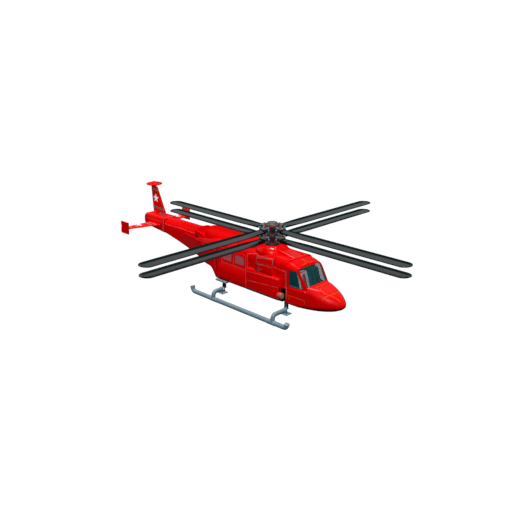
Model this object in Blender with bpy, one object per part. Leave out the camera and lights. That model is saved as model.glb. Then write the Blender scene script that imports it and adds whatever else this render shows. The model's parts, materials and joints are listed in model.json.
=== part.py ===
"""Coaxial-rotor utility helicopter standing on its skids.

Metres, +X to the nose, +Y to port, +Z up. The origin is on the ground under the middle of the
rotor discs and the tail: the rotor tips reach as far forward as the tail reaches aft.
"""

import math

import bmesh
import bpy
from mathutils import Matrix, Vector

for old in list(bpy.data.objects):
    bpy.data.objects.remove(old, do_unlink=True)

GAP = 0.0003  # seat between touching pieces
WALL = 0.045  # cab and cabin panels, skin with its frames and lining

# Rotors
ROTOR_RADIUS = 6.4
MAST_X = 0.92
UPPER_Z = 3.32
LOWER_Z = 2.94
BLADE_ROOT = 0.60
BLADE_HALF = 0.30
BLADE_THICK = 0.07
HUB_RISE = 0.17
HUB_BELOW = (0.15, 0.19)  # lower and upper hub
HUB_RADIUS = 0.24
CAP_TOP = 3.59
INNER_SHAFT = 0.07
OUTER_SHAFT = 0.12
SHAFT_BORE = 0.085

# Hull
TAIL_END_X = -(MAST_X + ROTOR_RADIUS)
CABIN_REAR = -1.69
CABIN_FRONT = 2.40
CABIN_HALF = 0.77
BELLY_Z = 0.72
ROOF_Z = 2.47
FLOOR_TOP = 0.84
PLATE = 0.012  # doublers on the floor and the belly, which loads fasten to
WALL_TOP = 2.16
CEILING_Z = 2.22
DECK_Z = 2.27  # engine and gearbox deck in the roof well
WELL_HALF = 0.46
WELL = (-1.30, 1.36)
COWL_FRONT = 0.30
DOME_TOP = 2.69
GEARBOX_TOP = 2.54

# Cockpit
SILL_Z = 1.44
COCKPIT_FLOOR = 0.80
SCREEN_LOW = (3.325, 1.59)  # x and z of the windscreen's lower edge
SCREEN_HIGH = (2.91, 2.23)
SCREEN_LOW_HALF = 0.573
SCREEN_HIGH_HALF = 0.634
SCREEN_SLOPE = (SCREEN_LOW[0] - SCREEN_HIGH[0]) / (SCREEN_HIGH[1] - SCREEN_LOW[1])
HATCH = (3.56, 4.14, 0.25)  # rear, front and half-width of the nose hatch
HATCH_OPEN_GAP = 0.006
HATCH_FLOOR = 1.12  # a height under the hatch's skin and over its bay
HATCH_HINGE = (3.557, 1.604)  # x and z of the hinge line, just above the skin
HATCH_PIN = 0.012

# Cabin doors
DOOR = (-1.34, 0.25)
DOOR_LOW = 0.80
DOOR_HIGH = 2.15
DOOR_INNER = 0.790
DOOR_OUTER = 0.830
DOORWAY = (-1.26, 0.165, 0.90, 2.12)  # rear, front, bottom, top of the hole in the wall
DOOR_WINDOWS = ((-1.15, -0.59), (-0.40, 0.158))
DOOR_WINDOW_Z = (1.745, 2.12)
RAIL = (-2.86, 0.22)
RAIL_Z = (2.165, 2.20)
RAIL_OUTER = 0.800
HOOK_GAP = 0.0005

# Sponsons and intakes
SPONSON = (0.262, 2.10)
SPONSON_OUTER = 0.86
INTAKE = (0.80, 1.70)
INTAKE_OUTER = 0.855

# Landing gear
SKID_Y = 1.38
SKID_TUBE = 0.0985
SLEEVE = 0.109
SIDES = 12  # of the skid tubes and of the pipes on them
AXIS_Z = SLEEVE * math.cos(math.pi / SIDES)  # the sleeves' flats stand on the ground
SKID = (-2.345, 2.88)  # straight part of the tube
SKID_BEND = 0.14
SKID_RISE = 75
SKID_STUB = (0.12, 0.08)  # from the bend to the flange, rear and front
FLANGE = 0.11
ARM_PIPE = 0.09
ARM_Z = 0.42
ARM_BEND = 0.17
PAD_Z = 0.25
PAD_THICK = 0.03
PAD_HALF = 0.16
STRUT_BALL = 0.04
STRUT_TUBE = 0.045
STRUT_ROD = 0.022
STRUT_CLAMP_Z = 0.47
NICHE = (2.12, 2.37, 0.52, 1.36)  # rear, front, inner side and top of the front strut's niche
#    place    pad x  pad y   sleeve from, to   strut x  strut y
GEAR = (
    ("front", 2.28, 0.605, 2.03, 2.41, 2.255, 0.573),
    ("rear", -1.15, 0.85, -1.28, -0.92, -1.15, 0.75),
)

# Tail
BOOM_START = -3.40
BOX_START = -5.69
BOOM_TOP = 2.53
BOX_TOP = 2.54
FIN_THICK = 0.07
FIN_TOP = 3.84
STAB_Z = 2.166
STAB_THICK = 0.06


def material(name, colour, roughness, metallic=0.0, alpha=1.0):
    made = bpy.data.materials.new(name)
    made.use_nodes = True
    shader = made.node_tree.nodes["Principled BSDF"]
    shader.inputs["Base Color"].default_value = (*colour, 1.0)
    shader.inputs["Roughness"].default_value = roughness
    shader.inputs["Metallic"].default_value = metallic
    shader.inputs["Alpha"].default_value = alpha
    return made


RED = material("red_enamel", (0.60, 0.003, 0.004), 0.30)
BLADE_GREY = material("blade_coating", (0.035, 0.035, 0.038), 0.55)
HUB_METAL = material("hub_alloy", (0.12, 0.08, 0.075), 0.40, 0.8)
STEEL_BLUE = material("gear_paint", (0.14, 0.23, 0.29), 0.45)
BLACK = material("black_rubber", (0.01, 0.01, 0.012), 0.6)
GLASS = material("tinted_acrylic", (0.02, 0.07, 0.08), 0.08, 0.0, 0.5)
FABRIC = material("seat_fabric", (0.20, 0.01, 0.012), 0.9)
PANEL = material("instrument_black", (0.02, 0.02, 0.02), 0.6)
BLOCK = material("engine_casting", (0.25, 0.25, 0.26), 0.5, 0.7)
LAMP = material("lamp_glass", (0.45, 0.55, 0.55), 0.1)


def make(name, vertices, faces, look, smooth=None):
    mesh = bpy.data.meshes.new(name)
    mesh.from_pydata([tuple(v) for v in vertices], [], faces)
    work = bmesh.new()
    work.from_mesh(mesh)
    bmesh.ops.remove_doubles(work, verts=work.verts, dist=1e-6)
    bmesh.ops.recalc_face_normals(work, faces=work.faces)
    work.to_mesh(mesh)
    work.free()
    mesh.materials.append(look)
    if smooth is not None:
        mesh.shade_smooth()
        mesh.set_sharp_from_angle(angle=math.radians(smooth))
    made = bpy.data.objects.new(name, mesh)
    bpy.context.scene.collection.objects.link(made)
    return made


def loft(name, rings, look, smooth=None):
    """Skin through rings that have equally many points, closed at both ends."""
    count = len(rings[0])
    vertices = [point for ring in rings for point in ring]
    faces = []
    for i in range(len(rings) - 1):
        for j in range(count):
            k = (j + 1) % count
            here, along, across = i * count + j, i * count + k, (i + 1) * count + j
            faces.append((here, along, (i + 1) * count + k))
            faces.append((here, (i + 1) * count + k, across))
    faces.append(tuple(reversed(range(count))))
    faces.append(tuple(range((len(rings) - 1) * count, len(rings) * count)))
    return make(name, vertices, faces, look, smooth)


def block(name, low, high, look):
    (x0, y0, z0), (x1, y1, z1) = low, high
    rings = [[(x, y0, z0), (x, y1, z0), (x, y1, z1), (x, y0, z1)] for x in (x0, x1)]
    return loft(name, rings, look)


def prism(name, outline, axis, start, end, look, smooth=None):
    """Outline in the two other axes, in their order, pushed along one axis."""
    def place(a, b, c):
        return {"x": (c, a, b), "y": (a, c, b), "z": (a, b, c)}[axis]

    rings = [[place(a, b, c) for a, b in outline] for c in (start, end)]
    return loft(name, rings, look, smooth)


def disc_stack(name, centre, profile, look, sides=24, axis="z", smooth=40):
    """Turned piece: profile is (distance along the axis, radius) rows."""
    rings = []
    for along, radius in profile:
        ring = []
        for i in range(sides):
            angle = 2 * math.pi * (i + 0.5) / sides
            a, b = radius * math.cos(angle), radius * math.sin(angle)
            offset = {"z": (a, b, along), "x": (along, a, b), "y": (a, along, b)}[axis]
            ring.append(Vector(centre) + Vector(offset))
        rings.append(ring)
    return loft(name, rings, look, smooth)


def sweep(name, path, radii, look):
    """Round tube along a path that stays in one plane, with a radius for each point."""
    path = [Vector(p) for p in path]
    normal = Vector((0, 1, 0))
    for i in range(1, len(path) - 1):
        turn = (path[i] - path[i - 1]).cross(path[i + 1] - path[i])
        if turn.length > 1e-6:
            normal = turn.normalized()
            break
    rings = []
    for i, (point, radius) in enumerate(zip(path, radii)):
        ahead = path[min(i + 1, len(path) - 1)] - path[max(i - 1, 0)]
        ahead.normalize()
        side = normal.cross(ahead).normalized()
        ring = []
        for j in range(SIDES):
            angle = 2 * math.pi * (j + 0.5) / SIDES
            ring.append(point + radius * (math.cos(angle) * normal + math.sin(angle) * side))
        rings.append(ring)
    return loft(name, rings, look, smooth=40)


def combine(target, tool, operation="DIFFERENCE"):
    """Boolean the tool into the target and drop the tool."""
    step = target.modifiers.new(operation.lower(), "BOOLEAN")
    step.operation = operation
    step.object = tool
    step.solver = "EXACT"
    bpy.context.view_layer.update()
    evaluated = target.evaluated_get(bpy.context.evaluated_depsgraph_get())
    mesh = bpy.data.meshes.new_from_object(evaluated)
    target.modifiers.clear()
    target.data = mesh
    bpy.data.objects.remove(tool, do_unlink=True)
    return target


def copy_of(source, name):
    made = bpy.data.objects.new(name, source.data.copy())
    bpy.context.scene.collection.objects.link(made)
    return made


def mirrored(source, name):
    """Port piece from a starboard one, on the other side of the centre plane."""
    mesh = source.data.copy()
    mesh.transform(Matrix.Scale(-1, 4, Vector((0, 1, 0))))
    mesh.flip_normals()
    made = bpy.data.objects.new(name, mesh)
    bpy.context.scene.collection.objects.link(made)
    return made


# Hull sections: half-width, bottom, top, then the corner's width and height below and above.
ARC_STEPS = 5


def section(half, bottom, top, low_w, low_h, high_w, high_h, inset=0.0):
    half, bottom, top = half - inset, bottom + inset, top - inset
    low_w, low_h, high_w, high_h = (max(r - inset, 0.01) for r in (low_w, low_h, high_w, high_h))
    side = [(0.0, bottom)]
    for i in range(ARC_STEPS + 1):
        angle = 0.5 * math.pi * i / ARC_STEPS
        side.append((half - low_w + low_w * math.sin(angle), bottom + low_h - low_h * math.cos(angle)))
    for i in range(ARC_STEPS + 1):
        angle = 0.5 * math.pi * i / ARC_STEPS
        side.append((half - high_w + high_w * math.cos(angle), top - high_h + high_h * math.sin(angle)))
    side.append((0.0, top))
    return side + [(-y, z) for y, z in reversed(side[1:-1])]


def hull_rings(stations, inset=0.0, stretch=0.0):
    rings = []
    for i, (x, *shape) in enumerate(stations):
        place = x + stretch if i == 0 else x - stretch if i == len(stations) - 1 else x
        rings.append([(place, y, z) for y, z in section(*shape, inset=inset)])
    return rings


#                half        bottom   top     low_w low_h high_w high_h
CABIN_SECTION = (CABIN_HALF, BELLY_Z, ROOF_Z, 0.14, 0.14, 0.27, ROOF_Z - WALL_TOP)

#    x     half  bottom top   low_w low_h high_w high_h
NOSE_STATIONS = (
    (4.665, 0.035, 1.035, 1.105, 0.034, 0.034, 0.034, 0.034),
    (4.63, 0.12, 0.98, 1.155, 0.118, 0.086, 0.118, 0.086),
    (4.50, 0.275, 0.875, 1.275, 0.27, 0.20, 0.27, 0.20),
    (4.22, 0.485, 0.765, 1.44, 0.45, 0.32, 0.43, 0.33),
    (3.82, 0.625, 0.695, 1.565, 0.47, 0.34, 0.38, 0.34),
    (3.40, 0.685, 0.67, 1.605, 0.38, 0.28, 0.22, 0.19),
    (2.90, 0.745, 0.68, 1.64, 0.24, 0.20, 0.14, 0.12),
    (CABIN_FRONT + GAP, 0.765, 0.71, 1.64, 0.15, 0.15, 0.12, 0.10),
)
NOSE_ROOM_END = (4.44, 0.32, 0.851, 1.31, 0.31, 0.22, 0.31, 0.22)
AFT_STATIONS = (
    (CABIN_REAR - GAP, *CABIN_SECTION),
    (-2.10, 0.68, 1.05, 2.40, 0.16, 0.16, 0.31, 0.31),
    (-2.60, 0.60, 1.11, 2.32, 0.16, 0.16, 0.35, 0.31),
    (-3.10, 0.50, 1.22, 2.26, 0.16, 0.16, 0.34, 0.20),
    (BOOM_START + GAP, 0.44, 1.33, 2.24, 0.12, 0.12, 0.30, 0.18),
)
LONG_HULL = ((CABIN_FRONT, *CABIN_SECTION), *AFT_STATIONS)
BOOM_STATIONS = (
    (BOOM_START, 0.43, 1.33, BOOM_TOP, 0.10, 0.10, 0.42, 0.40),
    (-4.54, 0.42, 1.62, BOOM_TOP, 0.10, 0.10, 0.41, 0.39),
    (BOX_START + GAP, 0.40, 1.85, BOOM_TOP, 0.10, 0.10, 0.39, 0.37),
)


def cab_rings(inset=0.0, bottom=SILL_Z, rear=CABIN_FRONT + GAP, front_back=0.0):
    """Cab above the sill, from its rear frame to the sloping plane of the windscreen."""
    #        half at sill, half at shoulder, shoulder z, roof edge half, roof edge z, roof z
    rear_form = (0.755, 0.765, 2.16, 0.50, 2.41, 2.44)
    mid_form = (0.715, 0.745, 2.14, 0.52, 2.37, 2.41)
    front_form = (0.615, 0.675, 2.10, 0.585, 2.27, 2.325)
    rings = []
    for part, form in ((0.0, rear_form), (0.5, mid_form), (1.0, front_form)):
        sill, shoulder, shoulder_z, edge, edge_z, roof = form
        half = [(0.0, bottom), (sill - inset, bottom), (shoulder - inset, shoulder_z)]
        for i in range(1, ARC_STEPS + 1):
            angle = 0.5 * math.pi * i / ARC_STEPS
            y = edge + (shoulder - edge) * math.cos(angle) - inset
            z = shoulder_z + (edge_z - shoulder_z) * math.sin(angle) - inset
            half.append((y, z))
        half.append((0.0, roof - inset))
        outline = half + [(-y, z) for y, z in reversed(half[1:-1])]
        ring = []
        for y, z in outline:
            front = SCREEN_LOW[0] - (z - SCREEN_LOW[1]) * SCREEN_SLOPE - front_back
            ring.append((rear + (front - rear) * part, y, z))
        rings.append(ring)
    return rings


def rounded(corners, radius, steps=3):
    """Outline with its corners rounded, in order."""
    outline = []
    count = len(corners)
    for i in range(count):
        here = Vector(corners[i])
        before = (Vector(corners[i - 1]) - here).normalized()
        after = (Vector(corners[(i + 1) % count]) - here).normalized()
        for j in range(steps + 1):
            t = j / steps
            start, end = here + before * radius, here + after * radius
            outline.append(start * (1 - t) ** 2 + here * 2 * t * (1 - t) + end * t ** 2)
    return [tuple(p) for p in outline]


def shrunk(outline, by):
    """Outline drawn in towards its middle by a small distance."""
    middle = sum((Vector(p) for p in outline), Vector((0, 0))) / len(outline)
    drawn = []
    for p in outline:
        away = Vector(p) - middle
        drawn.append(tuple(middle + away * (1 - by / away.length)))
    return drawn


SIDE_WINDOW = ((2.50, 1.53), (3.14, 1.53), (2.82, 2.13), (2.50, 2.13))
SCREEN_OUTLINE = (
    (-SCREEN_LOW_HALF, SCREEN_LOW[1]),
    (SCREEN_LOW_HALF, SCREEN_LOW[1]),
    (SCREEN_HIGH_HALF, SCREEN_HIGH[1]),
    (-SCREEN_HIGH_HALF, SCREEN_HIGH[1]),
)


def screen_prism(name, shrink):
    """Block that runs through the windscreen's wall along X, with the pane's outline."""
    outline = shrunk(rounded(SCREEN_OUTLINE, 0.06), shrink)
    rings = []
    for reach in (-0.20, 0.10):
        rings.append([(SCREEN_LOW[0] - (z - SCREEN_LOW[1]) * SCREEN_SLOPE + reach, y, z) for y, z in outline])
    return loft(name, rings, GLASS)


def side_prism(name, shrink, side):
    outline = shrunk(rounded(SIDE_WINDOW, 0.05), shrink)
    return prism(name, outline, "y", side * 0.50, side * 0.90, GLASS)


def hatch_outline(grow):
    rear, front, half = HATCH
    return rounded(
        ((rear - grow, -half - grow), (front + grow, -half - grow),
         (front + grow, half + grow), (rear - grow, half + grow)), 0.06)


def build_cockpit():
    nose = loft("nose_shell", hull_rings(NOSE_STATIONS), RED, smooth=35)
    inside = [NOSE_ROOM_END, *NOSE_STATIONS[3:]]
    cavity = hull_rings(inside, inset=WALL)
    cavity[-1] = [(x - 0.05, y, z) for x, y, z in cavity[-1]]
    under = block("under_floor", (2.0, -1.0, 0.0), (5.0, 1.0, COCKPIT_FLOOR), RED)
    combine(nose, combine(loft("nose_cavity", cavity, RED), under))
    foot = SCREEN_LOW[0] + (SCREEN_LOW[1] - SILL_Z) * SCREEN_SLOPE + 2 * GAP
    away = (
        (CABIN_FRONT - 0.1, SILL_Z - GAP),
        (foot, SILL_Z - GAP),
        (SCREEN_HIGH[0] + 2 * GAP, SCREEN_HIGH[1]),
        (CABIN_FRONT - 0.1, SCREEN_HIGH[1]),
    )
    combine(nose, prism("above_sill", away, "y", -1.0, 1.0, RED))

    hatch = copy_of(nose, "nose_hatch")
    combine(hatch, prism("hatch_form", hatch_outline(0.0), "z", HATCH_FLOOR, 2.0, RED), "INTERSECT")
    combine(nose, prism("hatch_hole", hatch_outline(HATCH_OPEN_GAP), "z", HATCH_FLOOR, 2.0, RED))
    hinge_x, hinge_z = HATCH_HINGE
    for y in (-0.16, 0.16):
        leaf = block("leaf", (hinge_x, y - 0.03, hinge_z - 0.035), (hinge_x + 0.06, y + 0.03, hinge_z), RED)
        combine(hatch, leaf, "UNION")
        combine(hatch, disc_stack("barrel", (hinge_x, y, hinge_z), ((-0.03, HATCH_PIN), (0.03, HATCH_PIN)),
                                  RED, sides=10, axis="y"), "UNION")
        for side in (-1, 1):
            middle = y + side * (0.045 + GAP)
            leaf = block("leaf", (hinge_x - 0.06, middle - 0.015, hinge_z - 0.035),
                         (hinge_x, middle + 0.015, hinge_z), RED)
            combine(nose, leaf, "UNION")
            combine(nose, disc_stack("barrel", (hinge_x, middle, hinge_z), (
                (-0.015, HATCH_PIN), (0.015, HATCH_PIN)), RED, sides=10, axis="y"), "UNION")

    frame = loft("cockpit_frame", cab_rings(), RED, smooth=35)
    room = cab_rings(WALL, SILL_Z - 0.1, CABIN_FRONT - 0.1, WALL * 1.2)
    combine(frame, loft("cab_room", room, RED))
    combine(frame, screen_prism("screen_hole", 0.0))
    for side in (-1, 1):
        combine(frame, side_prism("side_hole", 0.0, side))

    def glazing(name, cutter):
        outer = cab_rings(0.012, SILL_Z + 0.01, CABIN_FRONT + 0.01, 0.012)
        inner = cab_rings(0.024, SILL_Z - 0.1, CABIN_FRONT - 0.1, 0.026)
        pane = loft(name, outer, GLASS, smooth=35)
        combine(pane, loft("glazing_room", inner, GLASS))
        return combine(pane, cutter, "INTERSECT")

    glazing("windscreen", screen_prism("screen_form", 2 * GAP))
    glazing("side_window_starboard", side_prism("form", 2 * GAP, -1))
    glazing("side_window_port", side_prism("form", 2 * GAP, 1))

    outline = ((3.52, 1.00), (3.66, 1.00), (3.66, 1.60), (3.56, 1.60), (3.48, 1.34))
    panel = prism("instrument_panel", outline, "y", -1.0, 1.0, PANEL)
    combine(panel, loft("nose_room", hull_rings(inside, WALL + GAP), PANEL), "INTERSECT")
    combine(panel, prism("shade", ((3.0, 1.36), (3.8, 1.44), (3.8, 1.8), (3.0, 1.8)), "y", -1.1, 1.1, PANEL))
    combine(panel, block("pedestal", (3.53, -0.14, COCKPIT_FLOOR + GAP), (3.65, 0.14, 1.1), PANEL), "UNION")

    #           x, z of the seat's side, from the foot round the pan and the back
    seat = (
        (3.02, COCKPIT_FLOOR + GAP), (3.32, COCKPIT_FLOOR + GAP), (3.36, 1.10), (3.44, 1.12),
        (3.44, 1.24), (3.12, 1.22), (2.84, 2.10), (2.74, 2.08), (3.00, 1.12),
    )
    for name, y in (("seat_starboard", -0.34), ("seat_port", 0.34)):
        prism(name, seat, "y", y - 0.20, y + 0.20, FABRIC)


def build_cabin():
    rings = [[(x, y, z) for y, z in section(*CABIN_SECTION)] for x in (CABIN_REAR, CABIN_FRONT)]
    hull = loft("hull", rings, RED, smooth=35)

    def slab(name, low, high):
        piece = copy_of(hull, name)
        return combine(piece, block("slab", low, high, RED), "INTERSECT")

    floor = slab("cabin_floor", (-2, -1, 0.5), (3, 1, FLOOR_TOP))
    for side in (-1, 1):
        low, high = sorted((side * NICHE[2], side * 1.0))
        combine(floor, block("niche", (NICHE[0], low, 0.5), (NICHE[1], high, 1.0), RED))
    combine(floor, block("tie_down_plate", (-0.50, -0.50, FLOOR_TOP - PLATE),
                         (1.90, 0.50, FLOOR_TOP + PLATE), RED), "UNION")
    combine(floor, block("hook_plate", (0.30, -0.25, BELLY_Z - PLATE),
                         (1.10, 0.25, BELLY_Z + PLATE), RED), "UNION")

    roof = slab("cabin_roof", (-2, -1, WALL_TOP + GAP), (3, 1, 3))
    inner = CABIN_HALF - WALL
    room = ((-inner, 1.9), (inner, 1.9), (inner, WALL_TOP + 0.02), (inner - 0.08, CEILING_Z),
            (-inner + 0.08, CEILING_Z), (-inner, WALL_TOP + 0.02))
    combine(roof, prism("cabin_room", room, "x", -2, 3, RED))
    combine(roof, block("well", (WELL[0], -WELL_HALF, DECK_Z), (WELL[1], WELL_HALF, 3), RED))

    wall = slab("cabin_wall_starboard", (-2, -1, FLOOR_TOP + GAP), (3, -inner, WALL_TOP))
    box = block("niche_box", (NICHE[0] - 0.05, -inner - 0.02, FLOOR_TOP + GAP),
                (NICHE[1] + 0.02, -NICHE[2] + 0.05, NICHE[3] + 0.05), RED)
    combine(wall, box, "UNION")
    combine(wall, block("niche", (NICHE[0], -1, 0.5), (NICHE[1], -NICHE[2], NICHE[3]), RED))
    rear, front, low, high = DOORWAY
    doorway = rounded(((rear, low), (front, low), (front, high), (rear, high)), 0.08)
    combine(wall, prism("doorway", doorway, "y", -1, -0.5, RED))
    #          y, z of the intake box, whose upper outer edge is cut off
    intake = ((-CABIN_HALF + 0.01, 1.72), (-CABIN_HALF + 0.01, 2.11), (-INTAKE_OUTER + 0.055, 2.11),
              (-INTAKE_OUTER, 2.09), (-INTAKE_OUTER, 1.72))
    combine(wall, prism("intake", intake, "x", INTAKE[0], INTAKE[1], RED), "UNION")
    mirrored(wall, "cabin_wall_port")
    bpy.data.objects.remove(hull, do_unlink=True)

    #         x behind the rear frame, z
    bench = ((0.02, FLOOR_TOP + GAP), (0.45, FLOOR_TOP + GAP), (0.48, 1.22), (0.18, 1.20),
             (0.10, 1.85), (0.02, 1.85))
    prism("cabin_bench", [(CABIN_REAR + x, z) for x, z in bench], "y", -0.58, 0.58, FABRIC)


def build_doors():
    """Sliding cabin doors: a flat window panel above, a bulged lower half."""
    #          y, z down the outer side of the door
    outer = (
        (DOOR_OUTER, DOOR_HIGH), (DOOR_OUTER, 1.57), (0.905, 1.45), (0.92, 1.28), (0.92, 1.02),
        (0.89, 0.88), (0.83, DOOR_LOW),
    )
    profile = [(-y, z) for y, z in ((DOOR_INNER, DOOR_LOW), (DOOR_INNER, DOOR_HIGH)) + outer]
    door = prism("cabin_door_starboard", profile, "x", DOOR[0], DOOR[1], RED, smooth=25)
    low, high = DOOR_WINDOW_Z
    for rear, front in DOOR_WINDOWS:
        hole = rounded(((rear, low), (front, low), (front, high), (rear, high)), 0.06)
        combine(door, prism("window_hole", hole, "y", -1, -0.7, RED))
    over = RAIL_Z[1] + HOOK_GAP
    for x in (DOOR[0] + 0.15, DOOR[1] - 0.30):
        hook = ((-DOOR_OUTER, DOOR_HIGH - 0.03), (-DOOR_OUTER + 0.022, DOOR_HIGH - 0.03),
                (-DOOR_OUTER + 0.022, over), (-0.780, over), (-0.780, over + 0.02), (-DOOR_OUTER, over + 0.02))
        combine(door, prism("hook", hook, "x", x, x + 0.15, RED), "UNION")
    mirrored(door, "cabin_door_port")

    glass = block("door_glass_starboard", (DOOR[0] + 0.04, -DOOR_INNER + GAP, low - 0.04),
                  (DOOR[1] - 0.04, -DOOR_INNER + 0.008, high + 0.02), GLASS)
    mirrored(glass, "door_glass_port")

    rail = block("door_rail_starboard", (RAIL[0], -RAIL_OUTER, RAIL_Z[0]),
                 (RAIL[1], -CABIN_HALF + 0.012, RAIL_Z[1]), RED)
    foot = block("rail_foot", (RAIL[0], -RAIL_OUTER + 0.005, RAIL_Z[0] + 0.002),
                 (RAIL[0] + 0.05, -0.40, RAIL_Z[1] - 0.002), RED)
    combine(rail, foot, "UNION")
    combine(rail, loft("hull_form", hull_rings(LONG_HULL, -GAP, 0.001), RED))
    mirrored(rail, "door_rail_port")


def build_sides():
    low, high = 0.74, 1.70
    #             y, z of the sponson's outer side
    profile = ((-CABIN_HALF - GAP, low + 0.14), (-CABIN_HALF - GAP, high),
               (-SPONSON_OUTER + 0.02, high), (-SPONSON_OUTER, high - 0.05),
               (-SPONSON_OUTER, low + 0.10), (-SPONSON_OUTER + 0.05, low + 0.06))
    sponson = prism("sponson_starboard", profile, "x", SPONSON[0], SPONSON[1], RED)
    mirrored(sponson, "sponson_port")

    reach = SPONSON_OUTER + 0.07
    lamp = disc_stack("landing_light_starboard", (2.10, -reach, 1.10), (
        (0.012, 0.03), (0.03, 0.065), (0.07, 0.09), (0.12, 0.097), (0.235, 0.097), (0.25, 0.085)),
        LAMP, sides=16, axis="x")
    arm = block("arm", (SPONSON[1] + GAP, -reach + 0.05, 1.06), (2.20, -CABIN_HALF - 0.02, 1.14), RED)
    combine(lamp, arm, "UNION")
    mirrored(lamp, "landing_light_port")


def build_top():
    """Dome round the masts, ramp to the cockpit roof and engine cowling with its exhaust trough."""
    def seated(piece):
        return combine(piece, loft("hull_form", hull_rings(LONG_HULL, -GAP, 0.001), RED))

    #       z, radius of the dome's outer and inner skin
    outer = ((2.36, 0.70), (2.46, 0.69), (2.53, 0.66), (2.60, 0.59), (2.65, 0.50), (DOME_TOP, 0.36))
    inner = ((2.30, 0.62), (2.50, 0.61), (2.56, 0.54), (2.61, 0.45), (2.645, 0.32), (2.646, 0.20), (2.80, 0.20))
    dome = disc_stack("mast_fairing", (MAST_X, 0, 0), outer, RED, sides=28)
    ramp = prism("ramp", ((1.00, 2.36), (1.00, 2.66), (1.50, 2.65), (2.38, 2.475), (2.38, 2.36)),
                 "y", -0.30, 0.30, RED)
    combine(dome, ramp, "UNION")
    combine(dome, disc_stack("dome_room", (MAST_X, 0, 0), inner, RED, sides=28))
    seated(dome)
    combine(dome, block("behind", (-2, -2, 2), (COWL_FRONT + GAP, 2, 3), RED))

    #        x, half-width, top, corner width, corner height
    arch = ((-2.98, 0.19, 2.50, 0.18, 0.22), (-2.88, 0.32, 2.63, 0.31, 0.34),
            (-2.70, 0.42, 2.725, 0.41, 0.42), (-2.40, 0.50, 2.765, 0.48, 0.48),
            (-1.20, 0.56, 2.765, 0.50, 0.48), (COWL_FRONT, 0.60, 2.74, 0.54, 0.46))

    def arch_rings(inset, base, ends):
        rings = []
        for i, (x, half, top, wide, tall) in enumerate(arch):
            x += ends if i == len(arch) - 1 else 0
            x += 2 * inset if i == 0 else 0
            shape = section(half - inset, base, top - inset, 0.01, 0.01, wide - inset * 0.9, tall - inset)
            rings.append([(x, y, z) for y, z in shape])
        return rings

    cowl = loft("engine_cowling", arch_rings(0.0, 2.0, 0.0), RED, smooth=35)
    combine(cowl, loft("cowl_room", arch_rings(0.04, 1.9, 0.1), RED))
    seated(cowl)

    block("engine", (-1.24, -0.36, DECK_Z + GAP), (0.02, 0.36, GEARBOX_TOP), BLOCK)
    block("gearbox", (0.52, -0.34, DECK_Z + GAP), (1.32, 0.34, GEARBOX_TOP), BLOCK)
    plate = disc_stack("swashplate", (MAST_X, 0, 0), (
        (DOME_TOP + GAP, 0.31), (DOME_TOP + 0.04, 0.31), (DOME_TOP + 0.08, 0.27)), HUB_METAL)
    combine(plate, disc_stack("bore", (MAST_X, 0, 0), ((2.5, 0.135), (3.0, 0.135)), HUB_METAL, sides=16))

    #        x, z of the trough's side walls, then y, z of the arched rim behind them
    walls = ((-2.30, 2.10), (-2.30, 2.22), (-3.38, 2.50), (-3.38, 2.10))
    rim = ((-0.45, 2.10), (0.45, 2.10), (0.45, 2.49), (0.30, 2.545), (0.0, 2.57), (-0.30, 2.545), (-0.45, 2.49))
    trough = prism("exhaust_trough", walls, "y", -0.45, 0.45, RED)
    combine(trough, block("pocket", (-3.34, -0.40, 2.0), (-2.0, 0.40, 3.0), RED))
    combine(trough, prism("rim", rim, "x", -3.38, -3.32, RED), "UNION")
    seated(trough)
    combine(trough, loft("cowl_form", arch_rings(-GAP, 1.9, 0.1), RED))


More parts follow.
